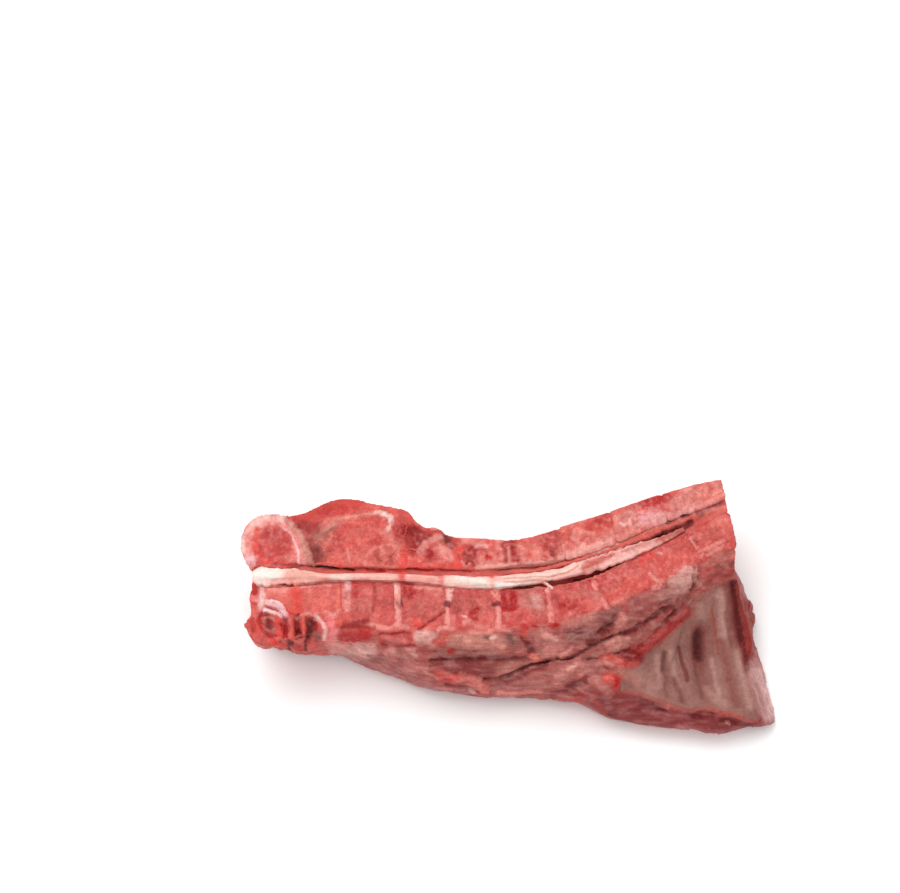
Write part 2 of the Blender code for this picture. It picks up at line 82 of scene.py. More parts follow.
# What all raw tissue shares: its film's roughness and reflection, and how light spreads in it.
COAT_ROUGHNESS = 0.2
REFLECTION = 0.08
SCATTER_COLOURS = (1.0, 0.35, 0.25)
SCATTER_LENGTH = 2.0  # millimetres
SPECK_COLOUR = (0.9, 0.7, 0.65)
SPECKS = 0.08  # how bright the finest pale specks are
SHADES = 0.32  # how far fine grain changes the brightness
BROAD_SHADES = 0.07  # how far broad lumps do
STRAND_SHADES = 0.16  # how far strands do
STRAND_SIZE = 1.1  # millimetres across
STRAND_STRETCH = 0.1  # a strand's width as a share of its length
STRAND_TURN = math.radians(10)
GLOSS_CHANGE = 0.1  # how far the roughness changes over the surface
BUMP_HEIGHT = 0.45  # millimetres
BUMP_STRENGTH = 0.5

SOFTBOX_SIZE = (1.4, 1.0)  # metres
SOFTBOX_PLACE = (-0.5, 0.45, 1.3)

PICTURE = (900, 893)  # the camera's frame, in pixels
LENS = 100.0
SENSOR = 36.0
CAMERA_TILT = math.radians(62)  # how far the camera looks down
CAMERA_DISTANCE = 1350.0
AIM = np.array([-0.137, -1.164, 25.0])  # the point seen at AIM_PIXEL
AIM_PIXEL = (509, 610)
FOCAL = LENS / SENSOR * PICTURE[0]
RIGHT = np.array([1.0, 0.0, 0.0])
UP = np.array([0.0, math.sin(CAMERA_TILT), math.cos(CAMERA_TILT)])
AHEAD = np.array([0.0, math.cos(CAMERA_TILT), -math.sin(CAMERA_TILT)])
EYE = AIM - CAMERA_DISTANCE * (
    (AIM_PIXEL[0] - PICTURE[0] / 2) / FOCAL * RIGHT + (PICTURE[1] / 2 - AIM_PIXEL[1]) / FOCAL * UP + AHEAD
)

# Display colours, 0 to 255, of everything that is painted.
TONES = {
    "white": (253, 240, 232), "cream": (250, 214, 200), "rim": (249, 190, 182), "rim_mid": (238, 152, 144),
    "white_pink": (250, 206, 198), "white_lilac": (249, 208, 208), "lilac": (248, 188, 190),
    "lilac_dull": (220, 152, 148), "lilac_dark": (160, 88, 96), "salmon_pale": (236, 144, 134),
    "salmon_pink": (246, 136, 136), "salmon": (222, 110, 101), "salmon_light": (220, 122, 110),
    "salmon_red": (218, 96, 88), "salmon_tan": (222, 128, 117), "salmon_dull": (178, 114, 110),
    "orange_pale": (241, 138, 126), "orange_red": (226, 84, 76), "rust": (160, 80, 64),
    "rust_soft": (136, 80, 74), "rust_deep": (150, 62, 56), "tan": (204, 126, 113),
    "tan_pale": (222, 148, 134), "tan_grey": (176, 108, 98), "tan_cream": (235, 170, 154),
    "fascia_white": (230, 172, 162), "fascia_pale": (220, 140, 131), "fascia": (198, 126, 116),
    "fascia_dull": (198, 112, 102), "fascia_grey": (158, 102, 96), "fascia_olive": (196, 126, 114),
    "marrow": (204, 90, 86), "marrow_red": (206, 84, 80), "marrow_dark": (184, 70, 70),
    "marrow_tan": (206, 104, 93), "meat": (196, 82, 78), "meat_red": (205, 78, 72),
    "meat_shade": (202, 68, 68), "meat_dark": (158, 58, 57), "blood_bright": (224, 80, 74),
    "blood_vivid": (196, 34, 40), "blood_meat": (190, 60, 60), "blood_heart": (170, 48, 50),
    "blood_deep": (172, 42, 45), "clot_red": (174, 40, 44), "clot": (100, 22, 30),
    "clot_bright": (134, 28, 36), "gristle_light": (220, 160, 150), "brown_heart": (166, 60, 58),
    "brown_red": (176, 79, 76), "brown_salmon": (197, 98, 91), "bruise": (136, 60, 60),
    "bruise_and_shade_deep": (116, 42, 45), "bruise_dark": (138, 60, 60), "bruise_red": (126, 60, 57),
    "bruise_soft": (152, 86, 82), "cut": (133, 70, 70), "cut_red": (140, 73, 71),
    "flap_light": (214, 112, 103), "muscle_pink": (206, 126, 120), "muscle_mid": (170, 92, 87),
    "muscle": (146, 68, 67), "scalene": (180, 103, 98), "muscle_dark_and_shade": (114, 46, 48),
    "muscle_deep": (100, 35, 39), "tissue_dark_and_shade": (148, 50, 51), "tissue_mauve": (126, 60, 58),
    "mauve_edge": (178, 114, 113), "mauve_grey": (154, 92, 88), "mauve_pink": (242, 170, 160),
    "gristle": (202, 138, 128), "gristle_pink": (204, 143, 135), "grey_dark": (122, 74, 71),
    "nucleus_dark": (136, 62, 66), "violet_dark": (136, 70, 84), "pleura_white": (188, 142, 131),
    "pleura_pale": (174, 127, 117), "pleura": (160, 112, 103), "pleura_grey": (144, 95, 88),
    "pleura_dark": (116, 74, 69), "maroon": (86, 28, 34), "maroon_grey": (138, 68, 65),
    "end_pink": (212, 162, 158), "rim_red": (180, 92, 86), "shadow_deep": (106, 43, 44),
    # slit, slit_red, slit_soft and crack_black are painted shade: the dark inside narrow gaps, pits and
    # cracks.
    "slit": (56, 14, 17), "slit_red": (100, 24, 27), "slit_soft": (90, 33, 34), "crack_black": (48, 12, 16),
    "cream_pink": (249, 190, 176), "salmon_cream": (242, 160, 148), "outer_red": (184, 76, 74),
    "outer_dark": (150, 56, 58), "outer_deep": (120, 40, 42), "outer_pink": (206, 112, 106),
    "fat_cream": (242, 200, 186), "fat_white": (250, 228, 218), "silver": (196, 186, 186),
}

Stroke = namedtuple("Stroke", "name tone width strength relief softness points")
Area = namedtuple("Area", "name tone strength fibre softness points")
Fleck = namedtuple("Fleck", "name tone size strength amount stretch points")

# ---------------------------------------------------------------- strokes, as points in the camera's frame
# Each is its name, tone, half width in pixels, strength, relief in millimetres, softness and points.

ATLAS_STROKES = [
    ("rim ground", "rim_mid", 8, 0.9, 0.3, 0.4, [
        (248, 562), (247, 545), (252, 530), (263, 521), (276, 519), (288, 524), (297, 534), (302, 548),
        (305, 560)
    ]),
    # rim crown: the pale bone rim, with a painted highlight along its top.
    ("rim crown", "rim", 4, 0.95, 0.4, 0.6, [(253, 524), (263, 518), (275, 516.5), (284, 520), (290, 526)]),
    ("rim left", "salmon_pale", 5, 0.7, 0.1, 0.7, [(246, 546), (249, 534)]),
    ("rim left light", "white_pink", 2.5, 0.7, 0.3, 0.7, [(243, 552), (243, 540), (247, 531)]),
    ("membrane", "fascia_olive", 4.5, 0.9, 0.1, 0.5, [
        (289, 521), (298, 532), (305, 545), (309, 556), (312, 563)
    ]),
    ("membrane light", "tan_pale", 1.8, 0.8, 0.2, 0.7, [(292, 525), (300, 537), (305, 551)]),
    ("membrane edge", "meat_dark", 1.2, 0.5, -0.4, 0.7, [(295, 521), (304, 533), (311, 547), (315, 560)]),
    ("inner rim", "salmon_pink", 3, 0.8, 0.2, 0.6, [(282, 526), (290, 534), (296, 546), (298, 560)]),
    ("inner line", "white_pink", 1.1, 0.8, 0.3, 0.5, [
        (281, 527), (288, 532), (294, 541), (297.5, 552), (298, 561)
    ]),
    ("marrow ground", "marrow_red", 13, 0.95, -0.5, 0.3, [(271, 544), (277, 543)]),
    ("marrow ground low", "marrow_red", 8, 0.9, -0.4, 0.4, [(268, 553), (286, 556)]),
    ("marrow shade", "marrow_dark", 6, 0.65, 0, 0.8, [(268, 534), (280, 533), (286, 540)]),
    ("marrow centre", "marrow_dark", 5, 0.5, 0, 0.8, [(275, 549), (283, 552)]),
    ("marrow light", "salmon_pale", 3.5, 0.6, 0, 0.8, [(288, 556), (293, 560)]),
    ("marrow light left", "salmon", 3, 0.5, 0, 0.8, [(266, 541), (268, 548)]),
    ("marrow border", "blood_bright", 2.6, 0.9, 0, 0.6, [
        (257, 531), (254, 543), (257, 554), (264, 560.5), (272, 562.5)
    ]),
    ("lilac spot", "lilac", 3.6, 0.9, 0.6, 0.6, [(249, 558), (253, 559)]),
    ("pink knob", "salmon_pink", 3.5, 0.85, 0.6, 0.6, [(246, 565), (250, 568)]),
    ("knob red", "blood_meat", 2.4, 0.8, 0.2, 0.7, [(247, 572), (251, 573)]),
    ("foot line", "meat_dark", 1.3, 0.8, -0.5, 0.5, [(272, 564), (284, 564.5), (298, 565), (312, 566)]),
]
AXIS_STROKES = [
    ("gap ground", "meat_dark", 7, 0.9, -0.3, 0.5, [(303, 523), (311, 526), (318, 528)]),
    ("gap red", "meat", 4, 0.7, 0.2, 0.7, [(296, 516), (305, 517), (313, 520)]),
    ("gap tan", "tan_grey", 6, 0.85, -0.2, 0.6, [(317, 536), (326, 532), (334, 527)]),
    ("gap tan low", "tan_grey", 4, 0.4, -0.5, 0.7, [(314, 547), (322, 543), (331, 540)]),
    ("gap tan light", "tan_pale", 1.6, 0.4, 0.3, 0.6, [(322, 531), (330, 527), (338, 523)]),
    ("gap shadow", "tissue_mauve", 5.5, 0.9, 0.2, 0.9, [(317, 550), (320, 556), (324, 561)]),
    ("gap shadow edge", "tissue_mauve", 2.5, 0.7, 0.3, 0.8, [(311, 540), (313, 550), (317, 561)]),
    ("gap shadow right", "meat_dark", 4, 0.7, -0.4, 0.8, [(330, 550), (335, 545), (338, 535)]),
    ("top meat", "meat_red", 7, 0.95, 0.4, 0.45, [
        (294, 515), (308, 511), (322, 506), (336, 501), (348, 500), (360, 503)
    ]),
    ("top meat low", "meat_red", 4, 0.8, 0, 0.6, [(312, 517), (328, 514), (344, 511), (356, 511)]),
    ("top meat dark", "meat_shade", 3.5, 0.7, -0.3, 0.8, [(322, 514), (333, 512), (345, 508)]),
    ("top meat right", "salmon_red", 6, 0.9, 0.3, 0.5, [(366, 508), (378, 509), (392, 511), (406, 513)]),
    ("top meat light", "salmon", 2.5, 0.6, 0.2, 0.8, [(372, 506), (390, 509)]),
    ("pale seam", "salmon_tan", 3, 0.6, 0.3, 0.7, [
        (322, 526), (334, 520), (350, 517), (366, 515), (382, 514)
    ]),
    ("pale seam light", "tan_pale", 1.2, 0.8, 0.3, 0.5, [(340, 519), (356, 516.5), (374, 514.5)]),
    ("crescent", "rim", 2.6, 0.75, 0.7, 0.5, [(376, 514), (384, 514), (391, 518), (392, 525), (387, 530)]),
    ("crescent white", "white_pink", 1.5, 0.95, 0.3, 0.5, [(384, 515), (389, 518), (390, 522)]),
    ("marrow red", "meat_red", 4.5, 0.75, -0.2, 0.7, [(337, 534), (343, 530), (350, 527)]),
    ("marrow top", "meat_red", 4, 0.7, -0.1, 0.7, [(362, 524), (372, 521), (381, 523)]),
    ("marrow ground", "marrow_red", 12, 0.8, -0.3, 0.6, [(346, 545), (360, 540), (372, 535)]),
    ("marrow low", "salmon", 6, 0.7, -0.1, 0.8, [(334, 558), (350, 557), (362, 556)]),
    ("marrow low red", "salmon_red", 4, 0.7, 0, 0.8, [(326, 562), (340, 561)]),
    ("marrow soft", "salmon", 5, 0.6, 0, 0.9, [(354, 534), (362, 545)]),
    ("marrow red spot", "meat_red", 4, 0.75, -0.1, 0.7, [(374, 543), (379, 538)]),
    ("pale tick", "rim", 1.1, 0.35, 0.1, 0.9, [(347, 549), (349, 556), (350, 562)]),
    ("pale arc", "salmon_pale", 1.6, 0.85, 0.2, 0.6, [
        (364, 564), (366, 556), (372, 550), (382, 546), (390, 545)
    ]),
    ("pale patch", "fascia_pale", 4, 0.5, 0, 0.8, [(384, 533), (392, 540), (396, 550)]),
    ("granular ground", "marrow_tan", 8, 0.7, -0.3, 0.7, [(378, 557), (388, 555)]),
    ("granular red", "meat_dark", 3, 0.6, -0.3, 0.8, [(377, 553), (380, 559)]),
    ("granular red two", "meat_dark", 3, 0.65, -0.3, 0.8, [(389, 557), (391, 562)]),
    ("granular light", "rim_mid", 2, 0.4, 0.1, 0.7, [(384, 550), (385, 556)]),
    ("granular edge", "rim_mid", 1.6, 0.75, 0.2, 0.7, [(398, 548), (400, 558), (401, 565)]),
    ("foot line", "salmon", 1.5, 0.9, 0.4, 0.5, [(318, 564), (332, 564.5), (346, 565), (360, 565.5)]),
    ("foot line right", "salmon_pale", 1.3, 0.4, 0.3, 0.6, [(366, 566), (384, 567), (400, 567)]),
    ("tail ground", "brown_heart", 9, 0.95, -0.7, 0.5, [(404, 532), (411, 537), (414, 545)]),
    ("tail left", "meat", 5, 0.85, -0.4, 0.6, [(396, 527), (403, 524), (410, 525)]),
    ("tail deep", "blood_heart", 3.5, 0.7, -0.7, 0.7, [(403, 530), (410, 527), (417, 531)]),
    ("tail red", "meat_red", 4.5, 0.8, -0.1, 0.7, [(404, 552), (412, 552), (418, 550)]),
    ("tail corner", "salmon_red", 5, 0.9, 0.4, 0.5, [(402, 514), (407, 517), (410, 521)]),
    ("tail bright", "blood_bright", 3.5, 0.8, 0, 0.7, [(403, 561), (412, 563), (420, 563)]),
]
ARCH_STROKES = [
    ("notch rag", "tissue_dark_and_shade", 4, 0.9, -0.6, 0.6, [(412, 529), (420, 533), (430, 537)]),
    ("notch red", "meat_red", 3, 0.85, 0.4, 0.6, [(428, 531), (436, 531), (442, 532)]),
    ("notch tip", "rim_mid", 1.4, 0.9, 0.7, 0.5, [(432, 529), (435, 530)]),
    ("notch deep", "muscle_deep", 4, 0.9, -0.7, 0.6, [(441, 537), (447, 540), (452, 545)]),
    ("notch deep left", "tissue_dark_and_shade", 5, 0.8, -0.5, 0.7, [(420, 541), (418, 548)]),
    ("arch 3 pale", "fascia_pale", 3.2, 0.9, 0.3, 0.6, [(420, 551), (426, 544), (433, 539), (440, 537)]),
    ("arch 3 pale right", "rim_mid", 1.5, 0.5, 0.3, 0.6, [(437, 541), (441, 546)]),
    ("arch 3 heart", "blood_heart", 4.5, 0.95, -0.4, 0.5, [(430, 554), (431.5, 559)]),
    ("arch 3 left", "salmon", 2.6, 0.7, 0.1, 0.7, [(421, 556), (423, 562)]),
    ("arch 4 pale", "salmon_pale", 4.5, 0.9, 0.3, 0.6, [(440, 549), (446, 552), (450, 558)]),
    ("arch 4 light", "rim_mid", 2, 0.9, 0.2, 0.6, [(443, 549), (448, 553)]),
    ("arch 4 foot", "meat_red", 2.5, 0.7, 0, 0.7, [(438, 561), (447, 564)]),
    ("arch 4 red", "orange_red", 5, 0.85, 0, 0.6, [(459, 549), (460, 557), (460, 564)]),
    ("arch 4 top", "meat_red", 3, 0.75, 0, 0.7, [(454, 541), (462, 543)]),
    ("arch 5 heart", "brown_heart", 6, 0.95, -0.5, 0.5, [(472, 551), (473, 560)]),
    ("arch 5 pits", "slit", 1.5, 0.4, -0.9, 0.8, [(464, 555), (465, 559)]),
    ("arch 5 pit low", "slit", 1.2, 0.9, -0.8, 0.5, [(467, 563), (468, 565)]),
    ("arch 5 ring", "rim_mid", 1, 0.8, 0.3, 0.5, [(462, 561), (466, 567), (470, 563)]),
    ("arch 5 pale", "salmon_pale", 6, 0.6, 0.1, 0.7, [(484, 561), (493, 560)]),
    ("arch 5 spot", "blood_vivid", 2.6, 0.95, 0.1, 0.6, [(487, 557), (490, 557.5)]),
    ("arch 5 top", "salmon_pale", 3, 0.8, 0.3, 0.7, [(463, 541), (475, 542), (488, 544)]),
    ("arch 5 top light", "rim", 1.5, 0.7, 0.3, 0.7, [(476, 546), (486, 547)]),
    ("arch 5 top red", "orange_red", 2.5, 0.7, 0.1, 0.7, [(486, 543), (492, 545)]),
    ("arch 6 pale", "rim_mid", 4, 0.55, 0.2, 0.7, [(499, 543), (501, 550), (501, 556)]),
    ("arch 6 red line", "blood_bright", 1.2, 0.6, 0, 0.7, [(497, 549), (498, 556)]),
    ("arch 6 dark", "brown_heart", 3, 0.9, -0.5, 0.5, [(505, 544), (505, 552), (507, 562)]),
    ("arch 6 stripe", "fascia_pale", 1.6, 0.9, 0.3, 0.5, [(508, 548), (509, 555), (509, 562)]),
    ("arch 6 heart", "brown_heart", 4, 0.95, -0.5, 0.5, [(513, 543), (516, 552), (518, 562)]),
    ("arch 6 heart deep", "blood_heart", 1.5, 0.7, -0.3, 0.6, [(513, 549), (515, 557)]),
    ("arch 7 light", "orange_pale", 7, 0.85, 0.1, 0.6, [(525, 549), (535, 551)]),
    ("arch 7 light low", "salmon_pale", 3.5, 0.7, 0.1, 0.7, [(524, 559), (540, 556)]),
    ("arch 7 spot", "orange_red", 2.8, 0.8, 0, 0.7, [(527, 555), (530, 556)]),
    ("arch 7 top", "salmon_red", 2.8, 0.7, 0.2, 0.7, [(518, 541), (530, 541), (540, 539)]),
    ("arch 7 dark", "meat", 5.5, 0.9, -0.3, 0.6, [(545, 537), (553, 535), (559, 536)]),
    ("arch 7 brown", "brown_red", 5, 0.85, -0.3, 0.7, [(550, 549), (556, 551)]),
    ("arch 7 pit", "slit_red", 1.7, 0.4, -0.8, 0.5, [(550, 552), (552, 555)]),
    ("arch 7 pit low", "slit_red", 1.2, 0.9, -0.7, 0.5, [(554, 558), (555, 560)]),
    ("arch band", "blood_bright", 3.6, 0.8, 0, 0.7, [(422, 566), (436, 566), (450, 566), (460, 566)]),
    ("arch band pale", "salmon", 2.5, 0.6, 0.1, 0.7, [(430, 563), (440, 563)]),
]
SPINE_STROKES = [
    ("t1 ground", "salmon_tan", 8, 0.85, 0, 0.6, [(567, 546), (578, 540), (588, 536)]),
    ("t1 spots", "meat_red", 3, 0.75, -0.1, 0.7, [(567, 541), (570, 546)]),
    ("t1 spot two", "meat_red", 3, 0.7, -0.1, 0.7, [(583, 541), (587, 537)]),
    ("t1 light", "rim_mid", 2.5, 0.6, 0.1, 0.8, [(574, 548), (582, 545)]),
    ("t1 edge", "salmon_red", 2.5, 0.7, 0.2, 0.7, [(563, 534), (575, 529), (588, 524)]),
    ("t2 blood", "meat_red", 6.5, 0.8, -0.1, 0.8, [(592, 528), (600, 524), (607, 520)]),
    ("t2 blood deep", "blood_deep", 3.5, 0.6, -0.2, 0.9, [(598, 521), (603, 519)]),
    ("t2 low", "salmon_tan", 6, 0.75, 0, 0.8, [(599, 541), (610, 536), (617, 531)]),
    ("t2 pale", "fascia_pale", 7, 0.85, 0, 0.7, [(622, 517), (630, 513), (634, 522)]),
    ("t2 red top", "salmon_red", 3, 0.7, 0.1, 0.7, [(612, 515), (626, 508), (638, 503)]),
    ("t2 ticks", "white_pink", 1.4, 0.7, 0.4, 0.8, [(620, 524), (624, 526), (627, 524)]),
    ("t2 tick up", "white_pink", 1.1, 0.6, 0.3, 0.5, [(629, 520), (630, 525)]),
    ("t2 mark", "meat_dark", 1.2, 0.3, -0.4, 0.6, [(633, 519), (634, 526)]),
    ("t3 blood", "blood_meat", 6, 0.95, 0, 0.6, [(646, 504), (656, 501), (667, 498)]),
    ("t3 blood low", "meat_red", 3.5, 0.7, 0, 0.7, [(650, 510), (662, 507)]),
    ("t3 lilac", "lilac", 7, 0.7, 0.1, 0.8, [(645, 520), (655, 517), (663, 520)]),
    ("t3 lilac light", "lilac", 2.2, 0.8, 0.3, 0.7, [(645, 519), (651, 518)]),
    ("t3 pink", "fascia_pale", 6, 0.8, 0, 0.7, [(674, 503), (684, 498), (690, 494)]),
    ("t3 pink light", "rim_mid", 2.2, 0.7, 0.2, 0.7, [(682, 491), (691, 490)]),
    ("t3 red marks", "meat_dark", 1.8, 0.3, -0.3, 0.7, [(671, 499), (676, 505)]),
    ("t3 dark", "bruise_soft", 2.8, 0.6, -0.8, 0.6, [(679, 511), (684, 516), (686, 521)]),
    ("t3 brown", "salmon_tan", 6.5, 0.8, 0, 0.7, [(700, 491), (711, 487), (720, 486)]),
    ("t3 brown light", "salmon_tan", 2, 0.3, 0.1, 0.7, [(704, 495), (713, 492)]),
    ("t3 brown spots", "meat_dark", 1.6, 0.3, -0.2, 0.7, [(707, 486), (712, 488)]),
    ("t3 low", "salmon_tan", 3.5, 0.75, 0.1, 0.7, [(694, 503), (708, 497), (720, 491)]),
    ("nuchal line", "rim_mid", 1.7, 0.9, 0.6, 0.5, [(690, 511), (699, 506.5), (711, 501), (726, 494)]),
    ("roof pale", "fascia_pale", 2.4, 0.85, 0.3, 0.6, [
        (560, 558), (580, 552), (602, 544), (622, 536), (638, 530)
    ]),
    ("roof pale two", "salmon_tan", 3.5, 0.8, 0.1, 0.7, [(640, 533), (656, 527), (672, 522)]),
    ("roof mauve", "mauve_pink", 3, 0.85, 0.1, 0.6, [
        (478, 567.5), (498, 567), (526, 565), (548, 562.5), (566, 559)
    ]),
    ("roof mauve line", "bruise", 0.8, 0.85, -0.5, 0.5, [
        (501, 573), (512, 571.6), (523, 571.4), (536, 572)
    ]),
    ("roof red line", "meat", 0.9, 0.7, -0.2, 0.6, [(520, 568.5), (545, 566.5), (562, 563)]),
    ("roof cream", "mauve_pink", 4, 0.8, 0.2, 0.8, [(562, 557), (580, 551), (600, 545), (612, 541)]),
    ("roof orange", "salmon_light", 5, 0.7, 0.2, 0.8, [(615, 545), (635, 537), (655, 528)]),
    ("roof lilac", "lilac_dull", 5, 0.7, 0.2, 0.8, [(652, 524), (668, 517), (690, 509)]),
]
CANAL_STROKES = [
    # The slit strokes paint the narrow gaps along the cord dark: painted shade in the gaps, with blood-red
    # tones in the lighter ones.
    ("slit 1", "slit", 1.9, 1, -0.9, 0.4, [(318, 566.6), (326, 568), (334, 569.2), (340, 570)]),
    ("slit 1 red", "slit_red", 1.4, 0.4, -0.4, 0.6, [(300, 565.5), (312, 566)]),
    ("slit gap", "orange_red", 2.2, 0.9, 0.3, 0.6, [(341, 566), (342, 571)]),
    ("slit 2", "slit_red", 2.2, 1, -0.8, 0.4, [(345, 569.5), (353, 571.4)]),
    ("slit 3", "blood_meat", 1.6, 0.9, -0.3, 0.6, [(356, 570), (366, 570.5)]),
    ("slit 4", "clot_red", 2.2, 0.95, -0.4, 0.5, [(368, 571), (376, 572), (384, 572.5)]),
    ("slit 5", "blood_meat", 1.1, 0.8, -0.3, 0.6, [(388, 571), (398, 570.5)]),
    ("slit 6", "blood_deep", 1.6, 0.9, -0.5, 0.5, [(407, 569.5), (418, 570), (432, 571.5)]),
    ("slit 7", "meat_dark", 1, 0.8, -0.3, 0.5, [(440, 571), (456, 571.5), (470, 573)]),
    ("red pier", "orange_red", 4, 0.85, 0.3, 0.6, [(402, 556), (402, 566), (402, 574)]),
    ("right gap 1", "tissue_mauve", 2, 0.95, -0.2, 0.5, [(576, 580), (588, 578.5), (598, 576)]),
    ("right gap 1 grey", "maroon_grey", 3, 0.5, -0.2, 0.6, [(598, 575), (606, 571)]),
    ("right gap 2", "tissue_mauve", 4.2, 0.95, -0.5, 0.5, [(613, 566), (621, 561.5), (631, 556)]),
    ("right gap 2 dark", "shadow_deep", 2, 0.6, -0.6, 0.6, [(618, 560), (628, 555)]),
    ("right gap 3", "tissue_dark_and_shade", 2.8, 0.9, -0.5, 0.6, [(634, 555), (645, 549.5), (656, 544)]),
    ("right gap 4", "slit_red", 3, 0.95, -0.7, 0.5, [(658, 543), (668, 538), (680, 532.5), (690, 528)]),
    ("right gap 5", "shadow_deep", 3.2, 0.95, -0.9, 0.5, [(668, 527), (678, 521.5), (688, 518)]),
    ("right end", "mauve_grey", 5.5, 0.95, -0.7, 0.5, [(699, 515), (709, 510), (719, 504)]),
    ("right end dark", "shadow_deep", 1.8, 0.7, -0.4, 0.6, [(694, 514), (702, 509)]),
    ("far lip", "salmon_pale", 2, 0.8, 0.3, 0.6, [(706, 517), (714, 514), (724, 511)]),
]
